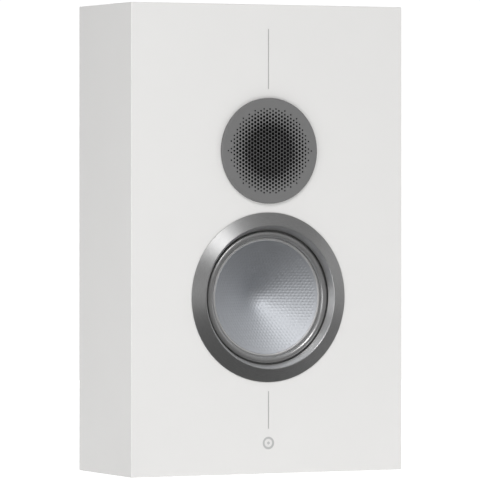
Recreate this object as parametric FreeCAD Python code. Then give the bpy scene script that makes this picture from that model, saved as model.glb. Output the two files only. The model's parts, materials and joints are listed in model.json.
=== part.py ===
import FreeCAD, Part
import math
import os

# A two-way shelf speaker. Millimetres. +X is the listener's right, +Y goes from the front
# to the back, +Z is up. The origin is the centre of the underside.
# A "depth" is a distance behind the face of the baffle; a negative depth stands proud of it.

os.makedirs("parts", exist_ok=True)

Vector = FreeCAD.Vector
FULL_TURN = 360.0
SAME = 1e-6

# Cabinet
CABINET_WIDTH = 320.0
CABINET_DEPTH = 138.0
CABINET_HEIGHT = 500.0
EDGE_RADIUS = 1.0
SHELL_THICKNESS = 18.0
BAFFLE_THICKNESS = 22.0
BACK_THICKNESS = 16.0
BACK_LEDGE = 9.0
GLUE_GAP = 0.2
BRACE_THICKNESS = 15.0
BRACE_SIDE_RIM = 40.0
BRACE_FRONT_RIM = 20.0
BRACE_BACK_RIM = 16.0

# Inlay lines and badge on the centre line of the front
LINE_WIDTH = 0.9
LINE_DEPTH = 1.2
LINE_GAP = 9.7
UPPER_LINE_LENGTH = 64.0
UPPER_LINE_TOP_MARGIN = 26.0
BADGE_HEIGHT = 32.7
BADGE_RADIUS = 6.7
BADGE_DEPTH = 1.5
BADGE_RIM = 1.0
BADGE_RELIEF = 0.3
BADGE_LINE_GAP = 8.6
INLAY_GAP = 0.05
MOVING_GAP = 0.3

# Woofer, from the cone outwards
CONE_RADIUS = 60.5
CONE_EDGE_DEPTH = 4.5
CONE_SLOPE = math.radians(31.0)
CONE_NOSE_RADIUS = 25.0
CONE_WALL = 0.5
CONE_STEP = 0.5
LIP_WIDTH = 3.3
ROLL_WIDTH = 7.2
ROLL_HEIGHT = 4.6
SURROUND_WALL = 0.6
SURROUND_GLUE_WIDTH = 3.2
RING_INNER_GAP = 1.0
RING_WALL_RUN = 4.0
RING_SLOPE_RUN = 14.4
RING_EDGE_HEIGHT = 1.1
RING_CREST_HEIGHT = 6.7
RING_CREST_RADIUS = 0.9
RING_FOOT_DEPTH = 1.3
RING_WALL = 1.2
CONE_TRAVEL = 6.0
TRAVEL_MARGIN = 6.4
FLANGE_MARGIN = 4.4
FLANGE_THICKNESS = 4.0
FLANGE_LANDING = 7.0
FLANGE_FRONT_STEP = 2.0
WOOFER_GASKET = 1.0
DRIVER_CLEARANCE = 0.5
BASKET_WALL = 2.6
BASKET_FLOOR = 2.6
BASKET_FLOOR_MARGIN = 5.0
BASKET_HOLE_GAP = 1.0
SPOKE_COUNT = 6
SPOKE_WIDTH = 15.0
SPOKE_RING_HEIGHT = 3.0
WOOFER_SCREW_COUNT = 6
COIL_RADIUS = 19.1
FORMER_WALL = 0.25
COIL_BUILD = 0.7
COIL_HEIGHT = 14.0
COIL_LEAD_IN = 3.0
FORMER_TAIL = 1.0
POLE_GAP = 0.45
PLATE_GAP = 0.6
POLE_RISE = 6.0
POLE_VENT_RADIUS = 6.0
MOTOR_RADIUS = 50.0
MAGNET_OVERHANG = 2.0
MAGNET_BORE = 27.0
TOP_PLATE_THICKNESS = 8.0
MAGNET_THICKNESS = 18.0
BACK_PLATE_THICKNESS = 6.0
SPIDER_RISE = 4.0
SPIDER_THICKNESS = 0.6
SPIDER_LEDGE_WIDTH = 4.0
SPIDER_RADIUS = 49.0
STRIP_WIDTH = 24.0
STRIP_THICKNESS = 1.6
TAG_PITCH = 12.0
TAG_LENGTH = 8.0
TAG_WIDTH = 5.0
TAG_THICKNESS = 0.8
TINSEL_RADIUS = 0.7
TINSEL_SAG = 5.0

# Tweeter, from the round plate inwards
PLATE_RADIUS = 56.3
PLATE_HEIGHT = 4.0
PLATE_CHAMFER = 1.0
PLATE_SHEET = 1.2
PLATE_RIM_WALL = 2.6
DRIVER_GAP = 9.3
CHASSIS_RADIUS = 52.0
CHASSIS_FLANGE = 4.0
CHASSIS_BODY_RADIUS = 43.0
CHASSIS_FACE_RADIUS = 44.5
CHASSIS_FACE_GAP = 0.4
TWEETER_GASKET = 1.0
MOUTH_WIDTH = 49.0
MOUTH_HEIGHT = 61.0
MOUTH_CORNER = 12.0
MOUTH_DEPTH = 5.0
THROAT_WIDTH = 34.0
THROAT_HEIGHT = 46.0
THROAT_CORNER = 4.0
CHASSIS_DEPTH = 10.0
POLE_PLATE_THICKNESS = 3.0
POLE_PLATE_WIDTH = 62.0
POLE_PLATE_HEIGHT = 46.0
POLE_SLOT_COUNT = 5
POLE_SLOT_HEIGHT = 3.4
DIAPHRAGM_GAP = 0.5
PLEAT_COUNT = 14
PLEAT_DEPTH = 4.0
PLEAT_FILM = 0.25
MAGNET_BAR_WIDTH = 14.0
TWEETER_COVER_RADIUS = 41.0
TWEETER_COVER_DEPTH = 34.0
TWEETER_COVER_WALL = 2.0
TWEETER_SCREW_COUNT = 4

# Screws
SCREW_SHANK_RADIUS = 2.0
SCREW_HEAD_RADIUS = 3.4
SCREW_HEAD_HEIGHT = 2.0
SCREW_LENGTH = 16.0
SCREW_GAP = 0.15
SOCKET_RADIUS = 1.4
SOCKET_DEPTH = 1.2

# Terminal tray and binding posts
TRAY_HEIGHT = 100.0
TRAY_FLANGE_WIDTH = 112.0
TRAY_FLANGE_HEIGHT = 92.0
TRAY_FLANGE_THICKNESS = 2.5
TRAY_CUP_WIDTH = 84.0
TRAY_CUP_HEIGHT = 68.0
TRAY_WALL = 2.5
TRAY_DEPTH = 28.0
TRAY_FLOOR = 3.0
TRAY_CORNER = 8.0
TRAY_GASKET = 1.0
TRAY_CLEARANCE = 0.4
TRAY_SCREW_INSET = 6.5
TRAY_SCREW_LENGTH = 12.0
POST_PITCH = 36.0
POST_RADIUS = 4.0
POST_COLLAR_RADIUS = 7.0
POST_COLLAR = 2.4
POST_TAIL = 8.6
POST_LENGTH = 20.0
SOCKET_BORE = 2.05
SOCKET_LENGTH = 14.5
POST_WIRE_HOLE = 1.3
POST_WIRE_MARGIN = 0.25
RUNNING_GAP = 0.05
INSULATOR_RADIUS = 8.0
INSULATOR_FLANGE = 0.8
INSULATOR_SLEEVE = 6.0
WASHER_RADIUS = 7.4
WASHER_THICKNESS = 2.0
KNOB_RADIUS = 8.0
KNOB_LENGTH = 18.5
KNOB_CHAMFER = 0.6
KNOB_FLUTES = 8
FLUTE_RADIUS = 1.6
FLUTE_SHARE = 0.6
FLUTE_FRONT_MARGIN = 1.0
FLUTE_BACK_MARGIN = 5.5
BAND_LENGTH = 2.4
BAND_DEPTH = 0.8
BAND_PROUD = 0.2
BAND_INSET = 1.4
NUT_RADIUS = 6.4
NUT_THICKNESS = 3.0
LUG_THICKNESS = 0.6
LUG_LENGTH = 15.0
LUG_WIDTH = 6.0

# Wall fixings on the back
KEYHOLE_PITCH = 160.0
KEYHOLE_DROP = 44.0
KEYHOLE_PLATE_WIDTH = 24.0
KEYHOLE_PLATE_HEIGHT = 56.0
KEYHOLE_PLATE_THICKNESS = 1.6
KEYHOLE_PLATE_CORNER = 3.0
KEYHOLE_ENTRY_RADIUS = 5.5
KEYHOLE_SLOT_RADIUS = 2.75
KEYHOLE_RISE = 12.0
KEYHOLE_POCKET_DEPTH = 9.0
KEYHOLE_POCKET_MARGIN = 2.0
KEYHOLE_SCREW_INSET = 6.0
SMALL_SCREW_HEAD = 3.0
SMALL_SCREW_SHANK = 1.6
SMALL_SCREW_LENGTH = 11.0
BUMPER_RADIUS = 9.0
BUMPER_THICKNESS = 3.0
BUMPER_SINK = 1.0
BUMPER_INSET = 26.0

# Crossover and wiring
BOARD_WIDTH = 120.0
BOARD_HEIGHT = 118.0
BOARD_THICKNESS = 1.6
BOARD_TOP_MARGIN = 58.0
STANDOFF_RADIUS = 4.0
STANDOFF_HEIGHT = 8.0
BOARD_HOLE_INSET = 6.0
BOARD_SCREW_LENGTH = 16.0
INDUCTOR_RADII = (24.0, 18.0)
INDUCTOR_HEIGHTS = (22.0, 18.0)
BOBBIN_CORE_RADIUS = 9.0
BOBBIN_FLANGE = 1.5
CAPACITOR_RADIUS = 8.0
CAPACITOR_LENGTH = 34.0
CAPACITOR_ROUNDING = 1.2
RESISTOR_SIZE = (9.0, 28.0)
PART_SPACING = 6.0
WIRE_RADIUS = 1.3
WIRE_END_GAP = 0.1
WIRE_PAD_INSET = 9.0
INPUT_WIRE_RISE = 40.0
INPUT_WIRE_STAND_OFF = 14.0
INPUT_WIRE_TURNS = (60.0, 20.0)
WOOFER_WIRE_INSET = 14.0
WOOFER_WIRE_SPREAD = 3.0
WOOFER_WIRE_TAIL = 18.0
WOOFER_WIRE_STAND_OFF = 22.0
WOOFER_WIRE_BEND = (12.0, 46.0)
WOOFER_WIRE_RISE = 8.0
TWEETER_WIRE_TAIL = 12.0
TWEETER_WIRE_STAND_OFF = 16.0
TWEETER_WIRE_BEND = (38.0, 44.0)
TWEETER_WIRE_END = (46.0, 60.0)
BEND_SHARE = 0.45

# Wadding
WADDING_MARGIN = 10.0
WADDING_FLOOR_GAP = 1.0
WADDING_HEIGHT = 74.0
WADDING_DEPTH = 64.0
WADDING_CORNER = 14.0

# Places that follow from the sizes above
front_y = -CABINET_DEPTH / 2
half_width = CABINET_WIDTH / 2
inner_half_width = half_width - SHELL_THICKNESS
back_inner_depth = CABINET_DEPTH - BACK_THICKNESS

cone_seat_depth = CONE_EDGE_DEPTH + CONE_STEP
lip_radius = CONE_RADIUS + LIP_WIDTH
roll_radius = lip_radius + ROLL_WIDTH
ring_inner_radius = roll_radius + RING_INNER_GAP
ring_crest_radius = ring_inner_radius + RING_WALL_RUN
ring_radius = ring_crest_radius + RING_SLOPE_RUN
flange_radius = ring_radius - FLANGE_MARGIN
flange_front = cone_seat_depth - FLANGE_FRONT_STEP
flange_back = flange_front + FLANGE_THICKNESS
basket_radius = flange_radius - FLANGE_LANDING - BASKET_HOLE_GAP
woofer_hole_radius = flange_radius - FLANGE_LANDING
woofer_screw_radius = flange_radius - FLANGE_LANDING / 2
cone_rise = math.tan(CONE_SLOPE)
cone_wall_depth = CONE_WALL / math.cos(CONE_SLOPE)
nose_overshoot = CONE_NOSE_RADIUS * (1 / math.cos(CONE_SLOPE) - 1)
cone_apex_depth = CONE_EDGE_DEPTH + CONE_RADIUS * cone_rise - nose_overshoot
pole_top_depth = cone_apex_depth + CONE_WALL + CONE_TRAVEL + TRAVEL_MARGIN
top_plate_depth = pole_top_depth + POLE_RISE
magnet_depth = top_plate_depth + TOP_PLATE_THICKNESS
back_plate_depth = magnet_depth + MAGNET_THICKNESS
motor_back_depth = back_plate_depth + BACK_PLATE_THICKNESS
spider_depth = pole_top_depth - SPIDER_RISE
basket_floor_radius = MOTOR_RADIUS + BASKET_FLOOR_MARGIN
coil_front_depth = pole_top_depth + COIL_LEAD_IN
former_radius = COIL_RADIUS - FORMER_WALL
former_back_depth = coil_front_depth + COIL_HEIGHT + FORMER_TAIL
pole_radius = former_radius - POLE_GAP
basket_floor_front = top_plate_depth - BASKET_FLOOR
window_front_depth = flange_back + SPOKE_RING_HEIGHT
window_back_depth = spider_depth - SPOKE_RING_HEIGHT

tweeter_z = (CABINET_HEIGHT - UPPER_LINE_TOP_MARGIN - UPPER_LINE_LENGTH - LINE_GAP - PLATE_RADIUS)
woofer_z = tweeter_z - PLATE_RADIUS - DRIVER_GAP - ring_radius
upper_line_bottom = tweeter_z + PLATE_RADIUS + LINE_GAP
upper_line_top = upper_line_bottom + UPPER_LINE_LENGTH
lower_line_bottom = BADGE_HEIGHT + BADGE_RADIUS + BADGE_LINE_GAP
lower_line_top = woofer_z - ring_radius - LINE_GAP
tweeter_hole_radius = CHASSIS_BODY_RADIUS + DRIVER_CLEARANCE
tweeter_screw_radius = (CHASSIS_FACE_RADIUS + CHASSIS_RADIUS) / 2
tweeter_rebate_depth = CHASSIS_FLANGE + TWEETER_GASKET
pole_front_depth = CHASSIS_DEPTH
magnet_bar_front = pole_front_depth + POLE_PLATE_THICKNESS
magnet_bar_back = magnet_bar_front + PLEAT_DEPTH + 2 * DIAPHRAGM_GAP
tweeter_cover_front = magnet_bar_back + POLE_PLATE_THICKNESS
brace_z = (woofer_z + woofer_hole_radius + tweeter_z - tweeter_hole_radius) / 2

tray_floor_back = CABINET_DEPTH - TRAY_DEPTH
tray_floor_front = tray_floor_back - TRAY_FLOOR
post_collar_depth = tray_floor_back + INSULATOR_FLANGE
post_front_depth = tray_floor_front - POST_TAIL
washer_depth = post_collar_depth + POST_COLLAR + RUNNING_GAP
knob_depth = washer_depth + WASHER_THICKNESS + RUNNING_GAP
post_end_depth = post_collar_depth + POST_LENGTH
lug_depth = tray_floor_front - INSULATOR_FLANGE - NUT_THICKNESS - LUG_THICKNESS
post_places = {"red": -POST_PITCH / 2, "black": POST_PITCH / 2}

board_back_depth = back_inner_depth - STANDOFF_HEIGHT
board_front_depth = board_back_depth - BOARD_THICKNESS
board_top = CABINET_HEIGHT - BOARD_TOP_MARGIN
board_bottom = board_top - BOARD_HEIGHT
keyhole_z = CABINET_HEIGHT - KEYHOLE_DROP


def at(x, depth, z):
    """The point a given depth behind the baffle's face."""
    return Vector(x, front_y + depth, z)


def slab(x_low, x_high, depth_low, depth_high, z_low, z_high):
    size = (x_high - x_low, depth_high - depth_low, z_high - z_low)
    return Part.makeBox(*size, at(x_low, depth_low, z_low))


def disc(radius, depth_low, depth_high, x, z):
    """A round slab whose axis runs from front to back."""
    return Part.makeCylinder(radius, depth_high - depth_low, at(x, depth_low, z), Vector(0, 1, 0))


def ring(outer, inner, depth_low, depth_high, x, z):
    return disc(outer, depth_low, depth_high, x, z).cut(disc(inner, depth_low, depth_high, x, z))


def turned(outline, x, z):
    """Turn an outline of (radius, depth) points about a front-to-back axis.

    An item of three points in place of one is an arc: it starts at the first, goes through
    the second and ends at the third.
    """
    edges = []
    corners = []
    for item in outline:
        points = item if isinstance(item[0], tuple) else (item,)
        places = [at(x + radius, depth, z) for radius, depth in points]
        if corners:
            edges.append(Part.LineSegment(corners[-1], places[0]).toShape())
        if len(places) > 1:
            edges.append(Part.Arc(*places).toShape())
        corners += [places[0], places[-1]]
    edges.append(Part.LineSegment(corners[-1], corners[0]).toShape())
    face = Part.Face(Part.Wire(edges))
    return face.revolve(at(x, 0, z), Vector(0, 1, 0), FULL_TURN)


def rounded_plate(width, height, corner, depth_low, depth_high, x, z):
    """A plate that faces the front, with rounded corners."""
    plate = slab(x - width / 2, x + width / 2, depth_low, depth_high, z - height / 2, z + height / 2)
    uprights = [edge for edge in plate.Edges if is_along(edge, Vector(0, 1, 0))]
    return plate.makeFillet(corner, uprights)


def is_along(edge, direction):
    along = edge.tangentAt(edge.FirstParameter)
    return abs(abs(along.dot(direction)) - 1) < SAME


def fused(shapes):
    """One solid from several that share faces or overlap."""
    whole = shapes[0]
    for shape in shapes[1:]:
        whole = whole.fuse(shape)
    return whole.removeSplitter()


def group(shapes):
    """Separate solids that belong to one piece of the parts list."""
    return Part.makeCompound(shapes)


def ring_places(count, radius, x, z, start=0.0):
    places = []
    for index in range(count):
        angle = start + 2 * math.pi * index / count
        places.append((x + radius * math.cos(angle), z + radius * math.sin(angle)))
    return places


def corner_places(width, height, x, z):
    return [(x + side * width / 2, z + end * height / 2) for side in (-1, 1) for end in (-1, 1)]


def pan_screw(x, z, seat_depth, length=SCREW_LENGTH, facing=1):
    """A socket screw driven towards the back (facing 1) or the front (facing -1)."""
    outline = [
        (0.0, seat_depth - facing * (SCREW_HEAD_HEIGHT - SOCKET_DEPTH)),
        (SOCKET_RADIUS, seat_depth - facing * (SCREW_HEAD_HEIGHT - SOCKET_DEPTH)),
        (SOCKET_RADIUS, seat_depth - facing * SCREW_HEAD_HEIGHT),
        (SCREW_HEAD_RADIUS, seat_depth - facing * SCREW_HEAD_HEIGHT),
        (SCREW_HEAD_RADIUS, seat_depth),
        (SCREW_SHANK_RADIUS, seat_depth),
        (SCREW_SHANK_RADIUS, seat_depth + facing * length),
        (0.0, seat_depth + facing * length),
    ]
    return turned(outline, x, z)


def flat_screw(x, z, face_depth, length, facing):
    """A countersunk screw, flush with a face, driven towards the back (1) or the front (-1)."""
    head = SMALL_SCREW_HEAD - SMALL_SCREW_SHANK
    outline = [
        (0.0, face_depth),
        (SMALL_SCREW_HEAD, face_depth),
        (SMALL_SCREW_SHANK, face_depth + facing * head),
        (SMALL_SCREW_SHANK, face_depth + facing * length),
        (0.0, face_depth + facing * length),
    ]
    return turned(outline, x, z)


def flat_screw_hole(x, z, face_depth, length, facing):
    head = SMALL_SCREW_HEAD - SMALL_SCREW_SHANK
    outline = [
        (0.0, face_depth - facing * SCREW_GAP),
        (SMALL_SCREW_HEAD + 2 * SCREW_GAP, face_depth - facing * SCREW_GAP),
        (SMALL_SCREW_SHANK + SCREW_GAP, face_depth + facing * head),
        (SMALL_SCREW_SHANK + SCREW_GAP, face_depth + facing * (length + SCREW_GAP)),
        (0.0, face_depth + facing * (length + SCREW_GAP)),
    ]
    return turned(outline, x, z)


def tube(points, radius):
    """A round wire along straight runs joined by the largest arcs that the runs allow."""
    edges = []
    start = points[0]
    for before, corner, after in zip(points, points[1:], points[2:]):
        arriving = (corner - before).normalize()
        leaving = (after - corner).normalize()
        turn = arriving.getAngle(leaving)
        shorter = min(before.distanceToPoint(corner), corner.distanceToPoint(after))
        reach = BEND_SHARE * shorter
        bend = reach / math.tan(turn / 2)
        arc_start = corner - arriving * reach
        arc_end = corner + leaving * reach
        inward = (leaving - arriving).normalize()
        centre = corner + inward * math.hypot(bend, reach)
        arc_middle = centre - inward * bend
        edges.append(Part.LineSegment(start, arc_start).toShape())
        edges.append(Part.Arc(arc_start, arc_middle, arc_end).toShape())
        start = arc_end
    edges.append(Part.LineSegment(start, points[-1]).toShape())
    path = Part.Wire(edges)
    opening = Part.Circle(points[0], points[1] - points[0], radius)
    section = Part.Wire([opening.toShape()])
    return path.makePipeShell([section], True, False)


# ---------------------------------------------------------------- cabinet


def cabinet_block():
    """The cabinet's outside, with every edge softened."""
    block = slab(-half_width, half_width, 0, CABINET_DEPTH, 0, CABINET_HEIGHT)
    return block.makeFillet(EDGE_RADIUS, block.Edges)


def shell_prism(corners):
    """The length of shell behind the baffle, cut to a mitred outline of (x, z) corners."""
    places = [at(x, BAFFLE_THICKNESS, z) for x, z in corners]
    outline = Part.makePolygon(places + [places[0]])
    return Part.Face(outline).extrude(Vector(0, CABINET_DEPTH - BAFFLE_THICKNESS, 0))


def back_pocket(gap):
    """The rebate that the back panel sits in, grown by a gap all round."""
    x = inner_half_width + BACK_LEDGE + gap
    z = SHELL_THICKNESS - BACK_LEDGE - gap
    return slab(-x, x, back_inner_depth, CABINET_DEPTH, z, CABINET_HEIGHT - z)


def shell_panel(corners):
    return cabinet_block().common(shell_prism(corners)).cut(back_pocket(GLUE_GAP))


def side_panel(side):
    outer = side * half_width
    inner = side * inner_half_width
    top = CABINET_HEIGHT - SHELL_THICKNESS
    corners = [(outer, 0), (inner, SHELL_THICKNESS), (inner, top), (outer, CABINET_HEIGHT)]
    return shell_panel(corners)


def end_panel(outer_z, inner_z):
    corners = [
        (-half_width, outer_z),
        (half_width, outer_z),
        (inner_half_width, inner_z),
        (-inner_half_width, inner_z),
    ]
    return shell_panel(corners)


def left_side_panel():
    return side_panel(-1)


def right_side_panel():
    return side_panel(1)


def top_panel():
    return end_panel(CABINET_HEIGHT, CABINET_HEIGHT - SHELL_THICKNESS)


def bottom_panel():
    return end_panel(0, SHELL_THICKNESS)


def inlay_groove(z_low, z_high, gap):
    half = LINE_WIDTH / 2 + gap
    return slab(-half, half, 0, LINE_DEPTH + gap, z_low - gap, z_high + gap)


def front_baffle():
    front = slab(-half_width, half_width, 0, BAFFLE_THICKNESS, 0, CABINET_HEIGHT)
    baffle = cabinet_block().common(front)
    woofer_rebate = flange_back + WOOFER_GASKET
    baffle = baffle.cut(disc(flange_radius + DRIVER_CLEARANCE, 0, woofer_rebate, 0, woofer_z))
    baffle = baffle.cut(disc(woofer_hole_radius, 0, BAFFLE_THICKNESS, 0, woofer_z))
    baffle = baffle.cut(disc(CHASSIS_RADIUS + DRIVER_CLEARANCE, 0, tweeter_rebate_depth, 0, tweeter_z))
    baffle = baffle.cut(disc(tweeter_hole_radius, 0, BAFFLE_THICKNESS, 0, tweeter_z))
    pilot = SCREW_SHANK_RADIUS + SCREW_GAP
    woofer_pilot_end = flange_front + SCREW_LENGTH + SCREW_GAP
    for x, z in woofer_screw_places():
        baffle = baffle.cut(disc(pilot, woofer_rebate, woofer_pilot_end, x, z))
    for x, z in tweeter_screw_places():
        baffle = baffle.cut(disc(pilot, tweeter_rebate_depth, SCREW_LENGTH + SCREW_GAP, x, z))
    baffle = baffle.cut(inlay_groove(upper_line_bottom, upper_line_top, INLAY_GAP))
    baffle = baffle.cut(inlay_groove(lower_line_bottom, lower_line_top, INLAY_GAP))
    return baffle.cut(disc(BADGE_RADIUS + INLAY_GAP, 0, BADGE_DEPTH, 0, BADGE_HEIGHT))


def back_panel():
    panel = back_pocket(0)
    opening = TRAY_WALL + TRAY_CLEARANCE
    panel = panel.cut(rounded_plate(
        TRAY_CUP_WIDTH + 2 * opening, TRAY_CUP_HEIGHT + 2 * opening, TRAY_CORNER,
        back_inner_depth, CABINET_DEPTH, 0, TRAY_HEIGHT))
    panel = panel.cut(rounded_plate(
        TRAY_FLANGE_WIDTH + 2 * TRAY_CLEARANCE, TRAY_FLANGE_HEIGHT + 2 * TRAY_CLEARANCE, TRAY_CORNER,
        CABINET_DEPTH - TRAY_FLANGE_THICKNESS - TRAY_GASKET, CABINET_DEPTH, 0, TRAY_HEIGHT))
    for x, z in tray_screw_places():
        panel = panel.cut(flat_screw_hole(x, z, CABINET_DEPTH, TRAY_SCREW_LENGTH, -1))
    for x in keyhole_places():
        panel = panel.cut(keyhole_recess(x))
        panel = panel.cut(keyhole_pocket(x))
    for x, z in keyhole_screw_places():
        panel = panel.cut(flat_screw_hole(x, z, CABINET_DEPTH, SMALL_SCREW_LENGTH, -1))
    seat_radius = BUMPER_RADIUS + INLAY_GAP
    for x, z in bumper_places():
        panel = panel.cut(disc(seat_radius, CABINET_DEPTH - BUMPER_SINK, CABINET_DEPTH, x, z))
    for x, z in board_hole_places():
        pilot_end = board_front_depth + BOARD_SCREW_LENGTH + SCREW_GAP
        panel = panel.cut(disc(SCREW_SHANK_RADIUS + SCREW_GAP, back_inner_depth, pilot_end, x, z))
    return panel


def window_brace():
    """A shelf between the two drivers that ties the sides, the baffle and the back together."""
    low = brace_z - BRACE_THICKNESS / 2
    high = brace_z + BRACE_THICKNESS / 2
    shelf = slab(-inner_half_width, inner_half_width, BAFFLE_THICKNESS, back_inner_depth, low, high)
    window_width = 2 * (inner_half_width - BRACE_SIDE_RIM)
    window_front = BAFFLE_THICKNESS + BRACE_FRONT_RIM
    window_back = back_inner_depth - BRACE_BACK_RIM
    half = window_width / 2
    return shelf.cut(slab(-half, half, window_front, window_back, low, high))


def inlay_lines():
    return group([
        inlay_groove(upper_line_bottom, upper_line_top, 0),
        inlay_groove(lower_line_bottom, lower_line_top, 0),
    ])


def round_badge():
    """A plain round badge: a raised rim and a raised dot."""
    plate = disc(BADGE_RADIUS, 0, BADGE_DEPTH, 0, BADGE_HEIGHT)
    groove = ring(BADGE_RADIUS - BADGE_RIM, BADGE_RADIUS / 2, 0, BADGE_RELIEF, 0, BADGE_HEIGHT)
    return plate.cut(groove)


def acoustic_wadding():
    """A soft pad on the cabinet's floor, below the woofer."""
    half = inner_half_width - WADDING_MARGIN
    low = SHELL_THICKNESS + WADDING_FLOOR_GAP
    front = BAFFLE_THICKNESS + WADDING_FLOOR_GAP
    pad = slab(-half, half, front, front + WADDING_DEPTH, low, low + WADDING_HEIGHT)
    long_edges = [edge for edge in pad.Edges if is_along(edge, Vector(1, 0, 0))]
    return pad.makeFillet(WADDING_CORNER, long_edges)


# ---------------------------------------------------------------- wall fixings


def keyhole_places():
    return [-KEYHOLE_PITCH / 2, KEYHOLE_PITCH / 2]


def keyhole_screw_places():
    reach = KEYHOLE_PLATE_HEIGHT - 2 * KEYHOLE_SCREW_INSET
    return corner_places(KEYHOLE_PITCH, reach, 0, keyhole_z)


def keyhole_recess(x):
    width = KEYHOLE_PLATE_WIDTH + 2 * INLAY_GAP
    height = KEYHOLE_PLATE_HEIGHT + 2 * INLAY_GAP
    front = CABINET_DEPTH - KEYHOLE_PLATE_THICKNESS
    return rounded_plate(width, height, KEYHOLE_PLATE_CORNER, front, CABINET_DEPTH, x, keyhole_z)


def keyhole_pocket(x):
    """Room behind the plate for the wall screw's head, at the entry and up the slot."""
    half = KEYHOLE_ENTRY_RADIUS + KEYHOLE_POCKET_MARGIN
    back = CABINET_DEPTH - KEYHOLE_PLATE_THICKNESS
    low = keyhole_z - KEYHOLE_RISE / 2 - half
    high = keyhole_z + KEYHOLE_RISE / 2 + half
    return slab(x - half, x + half, back - KEYHOLE_POCKET_DEPTH, back, low, high)


def keyhole_plate(x):
    front = CABINET_DEPTH - KEYHOLE_PLATE_THICKNESS
    plate = rounded_plate(
        KEYHOLE_PLATE_WIDTH, KEYHOLE_PLATE_HEIGHT, KEYHOLE_PLATE_CORNER,
        front, CABINET_DEPTH, x, keyhole_z)
    entry_z = keyhole_z - KEYHOLE_RISE / 2
    slot_z = keyhole_z + KEYHOLE_RISE / 2
    slot = slab(x - KEYHOLE_SLOT_RADIUS, x + KEYHOLE_SLOT_RADIUS, front, CABINET_DEPTH, entry_z, slot_z)
    plate = plate.cut(disc(KEYHOLE_ENTRY_RADIUS, front, CABINET_DEPTH, x, entry_z))
    plate = plate.cut(slot)
    return plate.cut(disc(KEYHOLE_SLOT_RADIUS, front, CABINET_DEPTH, x, slot_z))


def keyhole_plates():
    plates = group([keyhole_plate(x) for x in keyhole_places()])
    for x, z in keyhole_screw_places():
        plates = plates.cut(flat_screw_hole(x, z, CABINET_DEPTH, SMALL_SCREW_LENGTH, -1))
    return plates


def keyhole_screws():
    places = keyhole_screw_places()
    return group([flat_screw(x, z, CABINET_DEPTH, SMALL_SCREW_LENGTH, -1) for x, z in places])


def bumper_places():
    width = CABINET_WIDTH - 2 * BUMPER_INSET
    height = CABINET_HEIGHT - 2 * BUMPER_INSET
    return corner_places(width, height, 0, CABINET_HEIGHT / 2)


def wall_bumpers():
    front = CABINET_DEPTH - BUMPER_SINK
    return group([disc(BUMPER_RADIUS, front, front + BUMPER_THICKNESS, x, z) for x, z in bumper_places()])


# ---------------------------------------------------------------- terminal tray


def tray_screw_places():
    width = TRAY_FLANGE_WIDTH - 2 * TRAY_SCREW_INSET
    height = TRAY_FLANGE_HEIGHT - 2 * TRAY_SCREW_INSET
    return corner_places(width, height, 0, TRAY_HEIGHT)


def terminal_tray():
    flange = rounded_plate(
        TRAY_FLANGE_WIDTH, TRAY_FLANGE_HEIGHT, TRAY_CORNER,
        CABINET_DEPTH - TRAY_FLANGE_THICKNESS, CABINET_DEPTH, 0, TRAY_HEIGHT)
    cup = rounded_plate(
        TRAY_CUP_WIDTH + 2 * TRAY_WALL, TRAY_CUP_HEIGHT + 2 * TRAY_WALL, TRAY_CORNER,
        tray_floor_front, CABINET_DEPTH, 0, TRAY_HEIGHT)
    hollow = rounded_plate(
        TRAY_CUP_WIDTH, TRAY_CUP_HEIGHT, TRAY_CORNER - TRAY_WALL,
        tray_floor_back, CABINET_DEPTH, 0, TRAY_HEIGHT)
    tray = fused([flange, cup]).cut(hollow)
    sleeve_hole = INSULATOR_SLEEVE + INLAY_GAP
    for x in post_places.values():
        tray = tray.cut(disc(sleeve_hole, tray_floor_front, tray_floor_back, x, TRAY_HEIGHT))
    for x, z in tray_screw_places():
        tray = tray.cut(flat_screw_hole(x, z, CABINET_DEPTH, TRAY_SCREW_LENGTH, -1))
    return tray


def terminal_gasket():
    back = CABINET_DEPTH - TRAY_FLANGE_THICKNESS
    opening = TRAY_WALL + TRAY_CLEARANCE
    sheet = rounded_plate(
        TRAY_FLANGE_WIDTH, TRAY_FLANGE_HEIGHT, TRAY_CORNER, back - TRAY_GASKET, back, 0, TRAY_HEIGHT)
    sheet = sheet.cut(rounded_plate(
        TRAY_CUP_WIDTH + 2 * opening, TRAY_CUP_HEIGHT + 2 * opening, TRAY_CORNER,
        back - TRAY_GASKET, back, 0, TRAY_HEIGHT))
    for x, z in tray_screw_places():
        sheet = sheet.cut(flat_screw_hole(x, z, CABINET_DEPTH, TRAY_SCREW_LENGTH, -1))
    return sheet


def terminal_tray_screws():
    places = tray_screw_places()
    return group([flat_screw(x, z, CABINET_DEPTH, TRAY_SCREW_LENGTH, -1) for x, z in places])


def post(x):
    """A threaded stud with a collar, a plug socket in its end and a cross hole for bare wire."""
    stud = disc(POST_RADIUS, post_front_depth, post_end_depth, x, TRAY_HEIGHT)
    collar = disc(POST_COLLAR_RADIUS, post_collar_depth, post_collar_depth + POST_COLLAR, x, TRAY_HEIGHT)
    whole = fused([stud, collar])
    whole = whole.cut(disc(SOCKET_BORE, post_end_depth - SOCKET_LENGTH, post_end_depth, x, TRAY_HEIGHT))
    hole_depth = post_collar_depth + POST_COLLAR + POST_WIRE_HOLE + POST_WIRE_MARGIN
    hole_start = at(x, hole_depth, TRAY_HEIGHT - POST_COLLAR_RADIUS)
    hole = Part.makeCylinder(POST_WIRE_HOLE, 2 * POST_COLLAR_RADIUS, hole_start, Vector(0, 0, 1))
    return whole.cut(hole)


def clamp_washer(x):
    back = washer_depth + WASHER_THICKNESS
    return ring(WASHER_RADIUS, POST_RADIUS + RUNNING_GAP, washer_depth, back, x, TRAY_HEIGHT)


def knob_band_span():
    back = knob_depth + KNOB_LENGTH - BAND_INSET
    return back - BAND_LENGTH, back


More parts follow.
